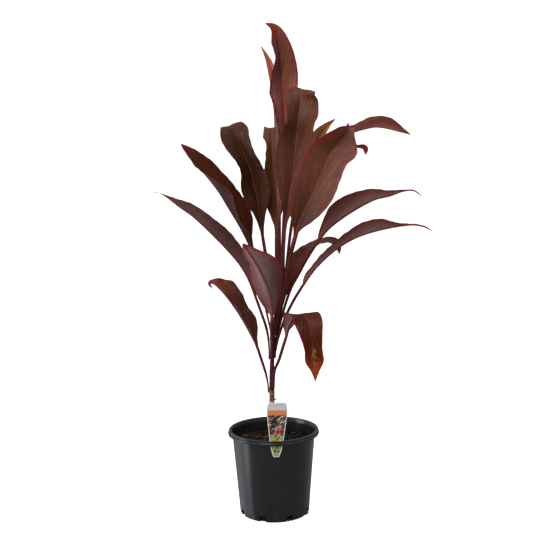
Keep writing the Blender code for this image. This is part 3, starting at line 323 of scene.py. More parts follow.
# Colours of a leaf, which its own row below may change. shade is painted shade and light, the lightness at
# the blade's foot, middle and end, mauve the share of mauve on the left and right half, partly a painted
# sheen on the half that faces the lamps, flush how far red runs in from the margin, flushed where along the
# blade it starts and is full, tip_start where the tip's colour starts, and flecks, streaks and blight are
# shares of 0 to 1
PLAIN_LEAF = dict(
    upper=(0.085, 0.033, 0.022), under=(0.11, 0.06, 0.058), edge=(0.17, 0.014, 0.015),
    rib=(0.15, 0.026, 0.03), stalk=(0.085, 0.011, 0.015), tip=(0.26, 0.026, 0.01), tip_start=0.93,
    shade=(1.0, 1.0, 1.0), mauve=(0.5, 0.5), flush=(3.0, 3.0), flushed=(0.1, 0.4), flecks=0.15, streaks=0.25,
    blight=0.0)
LEAF_LOOKS = {
    "leaf_low_left": dict(
        upper=(0.092, 0.02, 0.009), under=(0.1, 0.03, 0.027), tip=(0.5, 0.045, 0.012), tip_start=0.9,
        shade=(0.75, 0.65, 1.55), flecks=0.0),
    "leaf_low_right_folded": dict(
        upper=(0.083, 0.01, 0.003), under=(0.37, 0.21, 0.2), edge=(0.2, 0.018, 0.006),
        rib=(0.17, 0.028, 0.008), tip=(0.3, 0.045, 0.007), tip_start=0.74, flush=(6.0, 6.0), flecks=0.0,
        streaks=0.1, blight=1.0),
    "leaf_front_mauve": dict(
        under=(0.224, 0.124, 0.118), edge=(0.3, 0.026, 0.028), rib=(0.26, 0.06, 0.066),
        shade=(0.85, 0.92, 1.3), flush=(8.0, 8.0), flushed=(0.6, 0.9), flecks=0.8),
    "leaf_left_long": dict(
        upper=(0.075, 0.024, 0.018), under=(0.076, 0.035, 0.03), tip=(0.17, 0.035, 0.008), tip_start=0.8,
        shade=(1.15, 0.82, 1.3), flecks=0.25),
    "leaf_right_long_lower": dict(
        upper=(0.08, 0.024, 0.015), under=(0.225, 0.102, 0.09), edge=(0.2, 0.016, 0.012),
        rib=(0.22, 0.05, 0.055), tip=(0.46, 0.028, 0.014), tip_start=0.75, shade=(1.7, 0.85, 0.75),
        flush=(4.5, 4.5)),
    "leaf_right_long_upper": dict(
        upper=(0.09, 0.03, 0.022), under=(0.24, 0.106, 0.092), edge=(0.2, 0.016, 0.012),
        rib=(0.22, 0.05, 0.055), tip=(0.42, 0.026, 0.014), tip_start=0.82, shade=(1.5, 0.78, 1.0),
        flush=(4.5, 4.5)),
    "leaf_rear_right_olive": dict(
        upper=(0.113, 0.022, 0.007), under=(0.14, 0.055, 0.045), tip=(0.36, 0.026, 0.015), tip_start=0.85,
        shade=(0.85, 1.1, 1.6)),
    "leaf_left_spear": dict(
        upper=(0.067, 0.011, 0.002), under=(0.072, 0.03, 0.025), edge=(0.15, 0.012, 0.01),
        tip=(0.2, 0.018, 0.008), tip_start=0.88, shade=(1.5, 0.78, 1.1), streaks=0.1),
    # Its wide red flush and its bright edge and tip also paint light onto its crest and tail, which lie in
    # shade
    "leaf_front_broad": dict(
        upper=(0.161, 0.056, 0.038), edge=(0.38, 0.026, 0.028), rib=(0.26, 0.05, 0.055),
        tip=(0.42, 0.03, 0.02), tip_start=0.84, shade=(0.52, 1.1, 1.5), mauve=(0.15, 0.65),
        flush=(22.0, 9.0), flushed=(0.35, 0.62), flecks=0.3, streaks=0.9),
    "leaf_left_arching": dict(
        upper=(0.057, 0.0135, 0.004), under=(0.07, 0.03, 0.022), edge=(0.1, 0.012, 0.006),
        rib=(0.06, 0.015, 0.008), shade=(1.15, 0.68, 1.35), mauve=(0.7, 0.5), streaks=0.35),
    "leaf_rear_olive": dict(
        upper=(0.138, 0.047, 0.016), under=(0.14, 0.06, 0.03), edge=(0.16, 0.02, 0.01),
        rib=(0.09, 0.022, 0.01), shade=(1.2, 0.82, 1.2), mauve=(0.3, 0.3), flecks=0.5),
    "leaf_front_tall": dict(
        upper=(0.134, 0.043, 0.026), under=(0.3, 0.12, 0.11), edge=(0.26, 0.018, 0.018),
        rib=(0.2, 0.038, 0.04), shade=(1.1, 1.0, 0.9), mauve=(0.75, 0.2), flush=(9.0, 9.0),
        flushed=(0.4, 0.75), streaks=0.7),
    "leaf_small_bronze": dict(
        upper=(0.5, 0.22, 0.075), under=(0.34, 0.17, 0.04), tip_start=0.85, mauve=(0.3, 0.3)),
    "leaf_upper_right": dict(
        upper=(0.15, 0.034, 0.027), under=(0.54, 0.165, 0.13), edge=(0.34, 0.026, 0.02),
        tip=(0.4, 0.026, 0.018), tip_start=0.9, shade=(1.0, 1.1, 0.85)),
    "leaf_top_rear": dict(
        upper=(0.3, 0.17, 0.15), under=(0.3, 0.1, 0.08), tip=(0.4, 0.09, 0.06), tip_start=0.7),
    "leaf_top_spear": dict(
        upper=(0.205, 0.068, 0.051), edge=(0.2, 0.011, 0.009), rib=(0.075, 0.014, 0.012),
        tip=(0.26, 0.03, 0.012), tip_start=0.88, shade=(2.3, 1.7, 0.85), mauve=(0.95, 0.1),
        flush=(9.0, 9.0), flushed=(0.3, 0.6), flecks=0.4, streaks=0.6),
}

# Tints that a leaf's own colours are multiplied by, and colours that all leaves share. MAUVE also paints a
# sheen, PALE_BY_RIB painted light on the under face near the midrib and RED_TO_MARGIN painted shade towards
# its margin, each partly the leaf's own colour
WARM, MAUVE = (1.02, 0.95, 0.7), (0.98, 1.07, 1.28)
PALE_BY_RIB, RED_TO_MARGIN = (1.45, 1.65, 1.75), (0.85, 0.34, 0.26)
GOLD_STREAK, ORANGE_FLECK = (0.32, 0.155, 0.05), (0.62, 0.2, 0.025)
BLIGHT_YELLOW, BLIGHT_BROWN = (0.4, 0.24, 0.035), (0.06, 0.035, 0.01)

# Scales of the leaf's patterns per millimetre: across the veins, along the leaf and aside from its midrib
STREAK_SCALE, FINE_SCALE = (1 / 8, 1 / 190, 1 / 45), (1 / 2.6, 1 / 260, 1 / 30)
BROAD_SCALE, MOTTLE_SCALE = (1 / 38, 1 / 160, 1 / 60), (1 / 60, 1 / 30, 1 / 18)
DRIFT_SCALE = (1 / 90, 1 / 70, 1 / 22)
FLECK_SCALE, BLIGHT_SCALE = (1 / 20, 1 / 30, 1 / 6), (1 / 9, 1 / 14, 1 / 4)
TIP_EASE = 0.16

# Plastic of the pot
POT_BLACK, POT_GREY = (0.008, 0.0082, 0.0088), (0.0125, 0.0128, 0.0138)
POT_SCUFF, POT_DUST, POT_SPECK = (0.035, 0.036, 0.04), (0.075, 0.066, 0.054), (0.12, 0.1, 0.08)
SCUFF_SCALE = (160, 160, 9)

# Bark mix: colours by a lump's tone, from fines to pale chips
MIX_COLOURS = [(0.0, (0.005, 0.0042, 0.0035)), (0.5, (0.011, 0.008, 0.006)), (0.68, (0.03, 0.018, 0.009)),
               (0.8, (0.095, 0.05, 0.018)), (0.92, (0.21, 0.115, 0.038)), (0.97, (0.36, 0.27, 0.11)),
               (1.0, (0.5, 0.44, 0.28))]
MIX_GRAIN = [(0.3, (0.25,) * 3), (0.7, (0.95,) * 3)]
MIX_FINES = [(0.35, (0.35,) * 3), (0.65, (1.0,) * 3)]
CHIP_GRAIN_SCALE = (900, 900, 2600)

# Bark of the cane, old low down and fresh above the height where they meet
OLD_BARK = [(0.3, (0.13, 0.045, 0.02)), (0.45, (0.3, 0.115, 0.048)), (0.56, (0.4, 0.24, 0.14)),
            (0.68, (0.5, 0.4, 0.29))]
BARK_PORE, BARK_LIP, BARK_GROOVE = (0.045, 0.022, 0.016), (0.42, 0.35, 0.26), (0.035, 0.014, 0.012)
FRESH_DARK, FRESH_LIGHT, FRESH_LIP = (0.02, 0.009, 0.01), (0.06, 0.018, 0.02), (0.22, 0.13, 0.09)
BARK_GRAIN_SCALE, BARK_PATCH_SCALE = (1500, 1500, 260), (60, 60, 130)
FRESH_FROM, FRESH_RAGGED = (268, 275), 9.0

# Print of the tag: colours that the shapes of its upper, middle and lower panel pick from, and plain ones
TAG_PICKS = (
    [(0.0, (0.6, 0.52, 0.42)), (0.24, (0.11, 0.012, 0.018)), (0.42, (0.18, 0.075, 0.055)),
     (0.56, (0.008, 0.004, 0.005)), (0.86, (0.24, 0.29, 0.15))],
    [(0.0, (0.012, 0.006, 0.008)), (0.35, (0.62, 0.022, 0.036)), (0.6, (0.075, 0.012, 0.018)),
     (0.8, (0.66, 0.55, 0.5))],
    [(0.0, (0.17, 0.3, 0.07)), (0.35, (0.48, 0.56, 0.12)), (0.55, (0.03, 0.028, 0.01)),
     (0.72, (0.3, 0.42, 0.18)), (0.9, (0.66, 0.6, 0.1))])
TAG_RIB, TAG_BAND = (0.045, 0.04, 0.022), (0.8, 0.235, 0.075)
TAG_HEAD, TAG_RULE = (0.66, 0.665, 0.63), (0.34, 0.42, 0.3)
TAG_BORDER, TAG_BACK, TAG_SMEAR = (0.8, 0.79, 0.76), (0.78, 0.77, 0.74), (0.3, 0.25, 0.2)

# Studio, in metres. The floor's lit wedge, a painted pool of light that also glows, is what the pot's wall
# mirrors as an upright streak
CAMERA_PLACE = (0.0083, -1.8225, 0.7186)
CAMERA_PITCH, CAMERA_ROLL = 6.092, -0.869
CAMERA_LENS, CAMERA_SENSOR = 55.636, 36.0
FLOOR_HALF = 6.0
FLOOR_SEEN = (0.86, 0.86, 0.86), (0.9, 0.9, 0.9)
FLOOR_DIM, FLOOR_LIT = (0.33, 0.33, 0.34), (0.62, 0.66, 0.74)
WEDGE_APEX = (-0.03, -0.061)
LAMP_AIM = (0, 0, 0.6)
LAMPS = {  # place, size, power and colour
    "left_window": ((-1.6, -0.15, 0.75), (0.7, 1.7), 12, (0.9, 0.95, 1.0)),
    "front_softbox": ((-0.7, -1.9, 2.1), (1.2, 1.2), 33, (1.0, 0.97, 0.94)),
}


class Nodes:
    """A tree of shader nodes, with a short call for each kind that the finishes are built from."""

    def __init__(self, tree):
        self.tree = tree

    def feed(self, socket, value):
        """Link another node's output to a socket, or give the socket a plain value."""
        if isinstance(value, bpy.types.NodeSocket):
            self.tree.links.new(value, socket)
        elif socket.type == "RGBA":
            socket.default_value = (*value, 1)
        else:
            socket.default_value = value

    def add(self, kind, inputs, output=0, **settings):
        """New node with its settings and inputs, and the output that is asked for."""
        node = self.tree.nodes.new("ShaderNode" + kind)
        for setting, value in settings.items():
            setattr(node, setting, value)
        for socket, value in inputs.items():
            self.feed(node.inputs[socket], value)
        return node.outputs[output]

    def attribute(self, name, output="Fac"):
        """Value, or vector, of each point that the mesh carries by name."""
        return self.add("Attribute", {}, output, attribute_name=name)

    def place(self):
        """Object coordinates, in metres."""
        return self.add("TexCoord", {}, "Object")

    def along(self, axis, vector):
        """Part of a vector along X, Y or Z."""
        return self.add("SeparateXYZ", {0: vector}, axis)

    def scaled(self, vector, scale):
        return self.add("Mapping", {"Vector": vector, "Scale": scale})

    def math(self, operation, a, b=0.0):
        return self.add("Math", {0: a, 1: b}, operation=operation)

    def plus(self, a, b):
        return self.math("ADD", a, b)

    def times(self, a, b):
        return self.math("MULTIPLY", a, b)

    def span(self, value, low, high, to_low=0.0, to_high=1.0):
        """Smooth step of a value from low to high."""
        ends = {"Value": value, 1: low, 2: high, 3: to_low, 4: to_high}
        return self.add("MapRange", ends, interpolation_type="SMOOTHSTEP")

    def mix(self, share, a, b, blend="MIX"):
        """Colour between a and b, or a with b blended over it."""
        return self.add("Mix", {0: share, 6: a, 7: b}, 2, data_type="RGBA", blend_type=blend)

    def coats(self, colour, *layers):
        """Colour with others laid over it in turn, each by its share."""
        for share, coat in layers:
            colour = self.mix(share, colour, coat)
        return colour

    def noise(self, vector, scale, detail, roughness=0.55):
        """Clouds of 0 to 1, with one scale or a scale for each axis."""
        if np.ndim(scale):
            vector, scale = self.scaled(vector, scale), 1
        inputs = {"Vector": vector, "Scale": scale, "Detail": detail, "Roughness": roughness}
        return self.add("TexNoise", inputs, "Fac")

    def cells(self, vector, scale, output="Distance", feature="F1"):
        """Distance to the nearest of scattered points, or another measure of its cell."""
        return self.add("TexVoronoi", {"Vector": vector, "Scale": scale}, output, feature=feature)

    def ramp(self, share, stops, interpolation="LINEAR"):
        """Colours keyed along 0 to 1."""
        node = self.tree.nodes.new("ShaderNodeValToRGB")
        node.color_ramp.interpolation = interpolation
        keys = node.color_ramp.elements
        while len(keys) < len(stops):
            keys.new(0.5)
        for key, (at, colour) in zip(keys, stops):
            key.position = at
            key.color = (*colour, 1)
        self.feed(node.inputs[0], share)
        return node.outputs[0]

    def bump(self, height, strength, depth):
        """Surface tilt from a height of 0 to 1 that stands for a depth in millimetres."""
        return self.add("Bump", {"Height": height, "Strength": strength, "Distance": depth * MM})


class Finish(Nodes):
    """Nodes of a new Principled material."""

    def __init__(self, name):
        self.material = bpy.data.materials.new(name)
        self.material.use_nodes = True
        super().__init__(self.material.node_tree)

    def done(self, colour, roughness, normal, **sockets):
        """Material with its shader fed. Further sockets are named with _ for a space."""
        inputs = self.tree.nodes["Principled BSDF"].inputs
        for socket, value in dict(sockets, Base_Color=colour, Roughness=roughness, Normal=normal).items():
            self.feed(inputs[socket.replace("_", " ")], value)
        return self.material


def mesh_piece(name, points, faces, finish, values=None, sharp_angle=None):
    """Object from points in millimetres and faces, with a value or vector of each point by name."""
    mesh = bpy.data.meshes.new(name)
    mesh.from_pydata((np.asarray(points) * MM).tolist(), [], faces)
    for key, value in (values or {}).items():
        kind, field = ("FLOAT_VECTOR", "vector") if value.ndim == 2 else ("FLOAT", "value")
        layer = mesh.attributes.new(key, kind, "POINT")
        layer.data.foreach_set(field, value.astype(np.float32).ravel())
    mesh.materials.append(finish)
    shade(mesh, sharp_angle)
    return stand(name, mesh)


def stand(name, data):
    """Object of its own in the scene."""
    thing = bpy.data.objects.new(name, data)
    bpy.context.collection.objects.link(thing)
    return thing


def shade(mesh, sharp_angle):
    """Smooth shading, but for edges past the angle if there is one."""
    mesh.shade_smooth()
    if sharp_angle:
        mesh.set_sharp_from_angle(angle=np.radians(sharp_angle))


def settle(piece, slot, *nodes):
    """Hang a finished piece on the plant's body and hide the solids that it stands for. The slot is not used.
    """
    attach(piece, BODY)
    if nodes:
        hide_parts(*nodes)


def apply_cuts(body, tools, operation="DIFFERENCE"):
    """Cut tools out of a body, or join them to it, and remove the tools."""
    for tool in tools:
        step = body.modifiers.new(tool.name, "BOOLEAN")
        step.object = tool
        step.operation = operation
        step.solver = "EXACT"
    graph = bpy.context.evaluated_depsgraph_get()
    result = bpy.data.meshes.new_from_object(body.evaluated_get(graph))
    body.modifiers.clear()
    body.data = result
    for tool in tools:
        bpy.data.objects.remove(tool)


def row_and_share(keys, at):
    """Row of keys that each value lies past, and how far it is on the way to the next."""
    row = np.clip(np.searchsorted(keys, at, side="right") - 1, 0, len(keys) - 2)
    return row, (at - keys[row]) / (keys[row + 1] - keys[row])


def through_keys(keys, values, at):
    """Smooth curve through keyed rows: cubic Hermite, its slopes from the neighbouring rows."""
    keys = np.asarray(keys, float)
    values = np.asarray(values, float).reshape(len(keys), -1)
    slopes = np.gradient(values, keys, axis=0)
    i, t = row_and_share(keys, np.clip(np.atleast_1d(at), keys[0], keys[-1]))
    t, span = t[:, None], (keys[i + 1] - keys[i])[:, None]
    start = (2 * t**3 - 3 * t**2 + 1) * values[i] + (t**3 - 2 * t**2 + t) * span * slopes[i]
    end = (3 * t**2 - 2 * t**3) * values[i + 1] + (t**3 - t**2) * span * slopes[i + 1]
    return start + end


def ripples(points, length, seed, number=16):
    """Uneven field of about -1 to 1: a sum of cosines in seeded directions, lengths and phases."""
    draw = np.random.default_rng(seed)
    turn = draw.uniform(0, FULL_TURN, number)
    way = np.stack([np.cos(turn), np.sin(turn)]) * 2 * np.pi / (length * draw.uniform(0.6, 1.7, number))
    return np.cos(points[..., :2] @ way + draw.uniform(0, FULL_TURN, number)).sum(axis=-1) / number ** 0.5


def turned(points, turn):
    """Points turned about +Z."""
    x, y, z = np.moveaxis(points, -1, 0)
    return np.stack([x * np.cos(turn) - y * np.sin(turn), x * np.sin(turn) + y * np.cos(turn), z], axis=-1)


def ringed_surface(rings):
    """Points and faces of a closed surface from rings of points, its ends closed by their middles."""
    count, sides = rings.shape[:2]
    number = np.arange(count * sides).reshape(count, sides)
    after = np.roll(number, -1, axis=1)
    quads = np.stack([number[:-1], after[:-1], after[1:], number[1:]], axis=-1).reshape(-1, 4)
    foot, top = count * sides, count * sides + 1
    foot_fan = np.stack([after[0], number[0], np.full(sides, foot)], axis=-1)
    top_fan = np.stack([number[-1], after[-1], np.full(sides, top)], axis=-1)
    points = np.concatenate([rings.reshape(-1, 3), rings[[0, -1]].mean(axis=1)])
    return points, quads.tolist() + foot_fan.tolist() + top_fan.tolist()


def level_rings(rows, sides):
    """Rings of points round rows of middle x, middle y, height and radius."""
    rows = np.asarray(rows, float)[:, None]
    turn = np.linspace(0, FULL_TURN, sides, endpoint=False)
    return np.stack([rows[..., 0] + rows[..., 3] * np.cos(turn), rows[..., 1] + rows[..., 3] * np.sin(turn),
                     rows[..., 2] + 0 * turn], axis=-1)


def rounded(outline, reach, steps=4):
    """Open outline whose inner corners are replaced by short curves that start a reach before them."""
    outline = np.asarray(outline, float)
    before, here, after = outline[:-2], outline[1:-1], outline[2:]
    curve = []
    for other in (before, after):
        run = np.linalg.norm(other - here, axis=1, keepdims=True)
        curve.append(here + (other - here) * np.minimum(reach / run, 0.45))
    t = np.linspace(0, 1, steps)[None, :, None]
    start, end = curve[0][:, None], curve[1][:, None]
    bends = (1 - t) ** 2 * start + 2 * t * (1 - t) * here[:, None] + t ** 2 * end
    return np.concatenate([outline[:1], bends.reshape(-1, 2), outline[-1:]])


def wall_inner_radius(height):
    """Radius inside the pot's tapering wall."""
    taper = (WALL_TOP_RADIUS - BASE_RADIUS) / (RIM_BOTTOM - BASE_CORNER)
    return WALL_TOP_RADIUS - WALL - taper * (RIM_BOTTOM - height)


def pot_profile():
    """Section of the moulded pot from the middle of its foot, round the rim, to the middle of its floor."""
    turns = np.radians(np.linspace(0, 90, 7))
    corner = np.stack([BASE_RADIUS - BASE_CORNER * (1 - np.sin(turns)), BASE_CORNER * (1 - np.cos(turns))], 1)
    under_flange = POT_HEIGHT - FLANGE
    inner_top = WALL_TOP_RADIUS - WALL
    rim = [(WALL_TOP_RADIUS, RIM_BOTTOM), (WALL_TOP_RADIUS + NECK_OUT, RIM_BOTTOM + NECK_UP),
           (WALL_TOP_RADIUS + NECK_TOP_OUT, under_flange), (SKIRT_INNER_RADIUS, under_flange),
           (SKIRT_INNER_RADIUS + RIM_DRAFT, RIM_BOTTOM), (RIM_RADIUS - RIM_DRAFT, RIM_BOTTOM),
           (RIM_RADIUS, RIM_BOTTOM + RIM_LAND), (RIM_RADIUS, GROOVE_HEIGHT - GROOVE_BELOW),
           (LIP_RADIUS - GROOVE_DEPTH, GROOVE_HEIGHT), (LIP_RADIUS, GROOVE_HEIGHT + GROOVE_ABOVE),
           (LIP_RADIUS, POT_HEIGHT), (MOUTH_RADIUS, POT_HEIGHT),
           (inner_top + MOUTH_STEP_OUT, RIM_BOTTOM + MOUTH_STEP_UP), (inner_top, RIM_BOTTOM)]
    inside = [(wall_inner_radius(FLOOR + FLOOR_CORNER), FLOOR + FLOOR_CORNER),
              (wall_inner_radius(FLOOR) - FLOOR_CORNER, FLOOR), (1, FLOOR)]
    return np.concatenate([[(1, 0)], corner, rounded(rim, MOULDED_CORNER), inside])


def prism_tool(name, foot, top):
    """Closed solid between two matching outlines, which cuts another piece."""
    here = np.arange(len(foot))
    after = np.roll(here, -1)
    band = np.stack([here, after, after + len(foot), here + len(foot)], axis=1)
    faces = [here[::-1].tolist(), (here + len(foot)).tolist()] + band.tolist()
    return mesh_piece(name, np.concatenate([foot, top]), faces, None)


def slot_tool(place, turn):
    """Box across the rim where the tag passes."""
    half = np.array((SLOT_LENGTH, SLOT_WIDTH, 3 * FLANGE)) / 2
    foot = np.array([(-1, -1, -1), (1, -1, -1), (1, 1, -1), (-1, 1, -1)]) * half
    return prism_tool("slot_tool", turned(foot, turn) + place, turned(foot * (1, 1, -1), turn) + place)


def notch_tool(turn):
    """Prism through the base corner, its section an arch with rounded upper corners."""
    half = NOTCH_WIDTH / 2
    arch = rounded([(half, NOTCH_BELOW), (half, NOTCH_HEIGHT), (-half, NOTCH_HEIGHT), (-half, NOTCH_BELOW)],
                   NOTCH_CORNER, 6)
    inner = np.column_stack([np.full(len(arch), NOTCH_INNER_RADIUS), arch])
    outer = inner + (BASE_RADIUS + CUT_SPARE - NOTCH_INNER_RADIUS, 0, 0)
    return prism_tool("notch_tool", turned(inner, turn), turned(outer, turn))


def tag_place():
    """Point where the tag passes the rim, and the turn about +Z that sets it square to the rim."""
    turn = np.radians(TAG_TURN)
    return np.array((np.sin(turn) * TAG_RADIUS, -np.cos(turn) * TAG_RADIUS, POT_HEIGHT)), turn


def pot_finish():
    """Black moulded plastic: faint pitting, scuffs that run down the wall, and dust, thickest at the foot."""
    nodes = Finish("nursery_pot_plastic")
    span, plus, times = nodes.span, nodes.plus, nodes.times
    at = nodes.place()
    cloud = nodes.noise(at, 22, 4)
    scuffs = nodes.noise(at, SCUFF_SCALE, 4, 0.65)
    pits = nodes.noise(at, 1400, 2)
    specks = span(nodes.cells(at, 260), 0.16, 0.05)
    low = span(nodes.along("Z", at), DUST_HEIGHT * MM, 0.0)
    dust = times(span(nodes.noise(at, 60, 5, 0.7), 0.48, 0.75), plus(times(low, 0.6), 0.05))
    colour = nodes.coats(
        POT_BLACK, (span(cloud, 0.35, 0.7), POT_GREY), (times(span(scuffs, 0.58, 0.8), 0.35), POT_SCUFF),
        (dust, POT_DUST), (times(specks, times(dust, 0.8)), POT_SPECK))
    roughness = plus(span(scuffs, 0.3, 0.75, 0.15, 0.26), times(dust, 0.3))
    return nodes.done(colour, roughness, nodes.bump(plus(pits, scuffs), 0.08, 0.05),
                      IOR=1.46, Specular_IOR_Level=0.5)


def make_pot():
    """Pot turned from its section, then cut by its drain notches and the slot that the tag passes through."""
    radius, height = pot_profile().T
    rows = np.column_stack([0 * radius, 0 * radius, height, radius])
    points, faces = ringed_surface(level_rings(rows, POT_SIDES))
    pot = mesh_piece("nursery_pot", points, faces, pot_finish())
    turns = np.radians(NOTCH_FIRST_ANGLE + np.arange(NOTCHES) * 360 / NOTCHES)
    apply_cuts(pot, [notch_tool(turn) for turn in turns] + [slot_tool(*tag_place())])
    shade(pot.data, POT_SHARP)
    settle(pot, "pot_plastic", "pot")


def cane_at(heights):
    """Middle x, middle y and plain radius of the cane at heights."""
    return through_keys(CANE[:, 0], CANE[:, 1:], heights)


def cane_rows(heights, gap=0):
    """Rows of middle x, middle y, height and radius of the cane, or of a hole that leaves a gap round it."""
    x, y, radius = cane_at(heights).T
    return np.column_stack([x, y, heights, radius + gap])


def from_cane(points):
    """Level distance from the cane's middle where it leaves the mix."""
    return np.linalg.norm(points[..., :2] - cane_at(SOIL_TOP)[0, :2], axis=-1)


def soil_rise(points):
    """Height of the mix's uneven top over its level, flat beside the pot's wall and the cane."""
    wall = wall_inner_radius(SOIL_TOP) - np.linalg.norm(points[..., :2], axis=-1)
    ease = np.clip(wall / SOIL_EASE, 0, 1) * np.clip((from_cane(points) - CANE_CLEAR) / SOIL_EASE, 0, 1)
    return ease * sum(height * ripples(points, length, seed) for height, length, seed in SOIL_RIPPLES)


def mix_finish():
    """Bark and peat: near-black fines, brown to orange chips and a few pale ones, by each chip's tone."""
    nodes = Finish("bark_and_peat")
    at = nodes.place()
    grain = nodes.noise(at, CHIP_GRAIN_SCALE, 4, 0.7)
    fines = nodes.noise(at, 420, 5, 0.7)
    colour = nodes.ramp(nodes.attribute("tone"), MIX_COLOURS)
    colour = nodes.mix(0.55, colour, nodes.ramp(grain, MIX_GRAIN), "MULTIPLY")
    colour = nodes.mix(0.5, colour, nodes.ramp(fines, MIX_FINES), "MULTIPLY")
    return nodes.done(colour, nodes.span(grain, 0.3, 0.7, 0.78, 0.95), nodes.bump(fines, 0.6, 0.8),
                      IOR=1.4, Specular_IOR_Level=0.3)


def make_mix(finish):
    """Body of the mix: blind hole for the cane, uneven top, sides against the pot and a level foot."""
    hole = np.linspace(CANE[0, 0] - GAP, SOIL_TOP, HOLE_ROWS)
    hole_rows = cane_rows(hole, 2 * GAP)
    foot = hole_rows[:1] * (1, 1, 1, 0.1)
    share = np.linspace(0, 1, SOIL_RINGS + 1)[1:, None]
    rim = np.array([(0, 0, SOIL_TOP, wall_inner_radius(SOIL_TOP) - GAP)])
    top_rows = hole_rows[-1:] * (1 - share) + rim * share
    side = np.linspace(SOIL_TOP, FLOOR + FLOOR_CORNER, SIDE_ROWS)[1:]
    side_rows = np.column_stack([0 * side, 0 * side, side, wall_inner_radius(side) - GAP])
    under = FLOOR + GAP
    base_rows = [(0, 0, under, wall_inner_radius(FLOOR) - FLOOR_CORNER - GAP), (0, 0, under, 1)]
    rings = level_rings(np.concatenate([foot, hole_rows, top_rows, side_rows, base_rows]), SOIL_SIDES)
    top = rings[len(hole_rows) + 1:len(hole_rows) + SOIL_RINGS]
    top[..., 2] += soil_rise(top)
    points, faces = ringed_surface(rings[::-1])
    tone = 0.22 + 0.12 * ripples(points, 7, 21)
    mix = mesh_piece("bark_mix", points, faces, finish, {"tone": tone}, MIX_SHARP)
    settle(mix, "bark_mix", "potting_mix")


def lump_form(rings, sides, square):
    """Unit lump as closed rings: a ball whose sines are raised to a power, which squares it."""
    rise = np.linspace(-np.pi / 2, np.pi / 2, rings + 2)[1:-1, None]
    turn = np.linspace(0, FULL_TURN, sides, endpoint=False)[None]

    def power(wave):
        return np.sign(wave) * np.abs(wave) ** square

    level = power(np.cos(rise))
    form = np.stack([level * power(np.cos(turn)), level * power(np.sin(turn)),
                     np.broadcast_to(power(np.sin(rise)), (rings, sides))], axis=-1)
    return ringed_surface(form)


def scatter_lumps(name, form, middles, sizes, tones, draw, finish, tilt):
    """One mesh of many lumps: the form scaled, roughened, tilted and turned for each middle."""
    points, faces = form
    count, each = len(middles), len(points)
    lumps = points[None] * sizes[:, None] * draw.uniform(0.78, 1.22, (count, each, 1))
    yaw, lean = draw.uniform(0, FULL_TURN, (2, count))
    slope = np.abs(draw.normal(0, tilt, count))
    axis = np.stack([np.cos(lean), np.sin(lean), 0 * lean], axis=1)[:, None]
    spun = turned(lumps, yaw[:, None])
    cosine, sine = np.cos(slope)[:, None, None], np.sin(slope)[:, None, None]
    along = (spun * axis).sum(axis=-1, keepdims=True) * axis
    leaned = spun * cosine + np.cross(axis, spun) * sine + along * (1 - cosine)
    placed = (leaned + middles[:, None]).reshape(-1, 3)
    numbers = [tuple(corner + lump * each for corner in face) for lump in range(count) for face in faces]
    piece = mesh_piece(name, placed, numbers, finish, {"tone": np.repeat(tones, each)}, LUMP_SHARP)
    settle(piece, "bark_mix")


def around(reach, turn, height):
    """Points at distances from the pot's axis, turns about it and heights."""
    return np.stack([reach * np.cos(turn), reach * np.sin(turn), height], axis=1)


def lump_spots(draw, count, margin, low, high):
    """Seeded spots on the mix's top, from low to high over it, clear of the pot's wall and of the cane."""
    reach = (CHIP_REACH - margin) * np.sqrt(draw.uniform(0, 1, 3 * count))
    turn = draw.uniform(0, FULL_TURN, 3 * count)
    spots = around(reach, turn, 0 * turn)
    spots = spots[from_cane(spots) > LUMP_CLEAR + margin][:count]
    spots[:, 2] = SOIL_TOP + soil_rise(spots) + draw.uniform(low, high, len(spots))
    return spots


def lump_tones(draw, spots, dark, lighter, pale):
    """Tones by a beta curve, mostly dark and lighter towards the left, with a few pale lumps."""
    tones = draw.beta(TONE_SHAPE, dark - lighter * np.clip(-spots[:, 0] / TONE_REACH, 0, 1))
    return np.where(draw.uniform(0, 1, len(spots)) < PALE_SHARE, pale, tones)


def make_lumps(finish):
    """Bark chips that lie on the mix, smaller crumbs between them, and pale crumbs out of two notches."""
    draw = np.random.default_rng(5)
    long = draw.gamma(4, 0.85, CHIPS) + 1.6
    width, height = draw.uniform(0.35, 0.7, CHIPS), draw.uniform(0.16, 0.34, CHIPS)
    sizes = np.stack([long, long * width, long * height], axis=1)
    spots = lump_spots(draw, CHIPS, margin=5, low=-0.4, high=1.1)
    tones = lump_tones(draw, spots, dark=3.8, lighter=2.3, pale=0.95)
    form = lump_form(rings=3, sides=8, square=0.55)
    scatter_lumps("bark_chips", form, spots, sizes[:len(spots)], tones, draw, finish, tilt=0.35)

    spots = lump_spots(draw, CRUMBS, margin=1.5, low=0, high=1.2)
    sizes = draw.uniform(0.35, 1.3, (len(spots), 1)) * draw.uniform(0.7, 1.2, (len(spots), 3))
    tones = lump_tones(draw, spots, dark=3.2, lighter=1.6, pale=1)
    form = lump_form(rings=2, sides=5, square=1)
    scatter_lumps("peat_crumbs", form, spots, sizes, tones, draw, finish, tilt=0.8)

    draw = np.random.default_rng(8)
    turn = np.radians(np.repeat(CRUMB_NOTCHES, NOTCH_CRUMBS))
    count, furthest = len(turn), BASE_RADIUS + 1.5
    turn = turn + draw.normal(0, CRUMB_SPREAD, count)
    reach = draw.uniform(NOTCH_INNER_RADIUS + 2, furthest, count)
    sizes = draw.uniform(0.5, 1.9, (count, 1)) * draw.uniform(0.6, 1.1, (count, 3))
    rise = sizes.max(axis=1) * 1.25 + draw.uniform(0, 2.2, count) * (furthest - reach) / 9
    tones = draw.uniform(0.72, 1, count)
    form = lump_form(rings=3, sides=7, square=0.8)
    scatter_lumps("drain_crumbs", form, around(reach, turn, rise), sizes, tones, draw, finish, tilt=0.6)


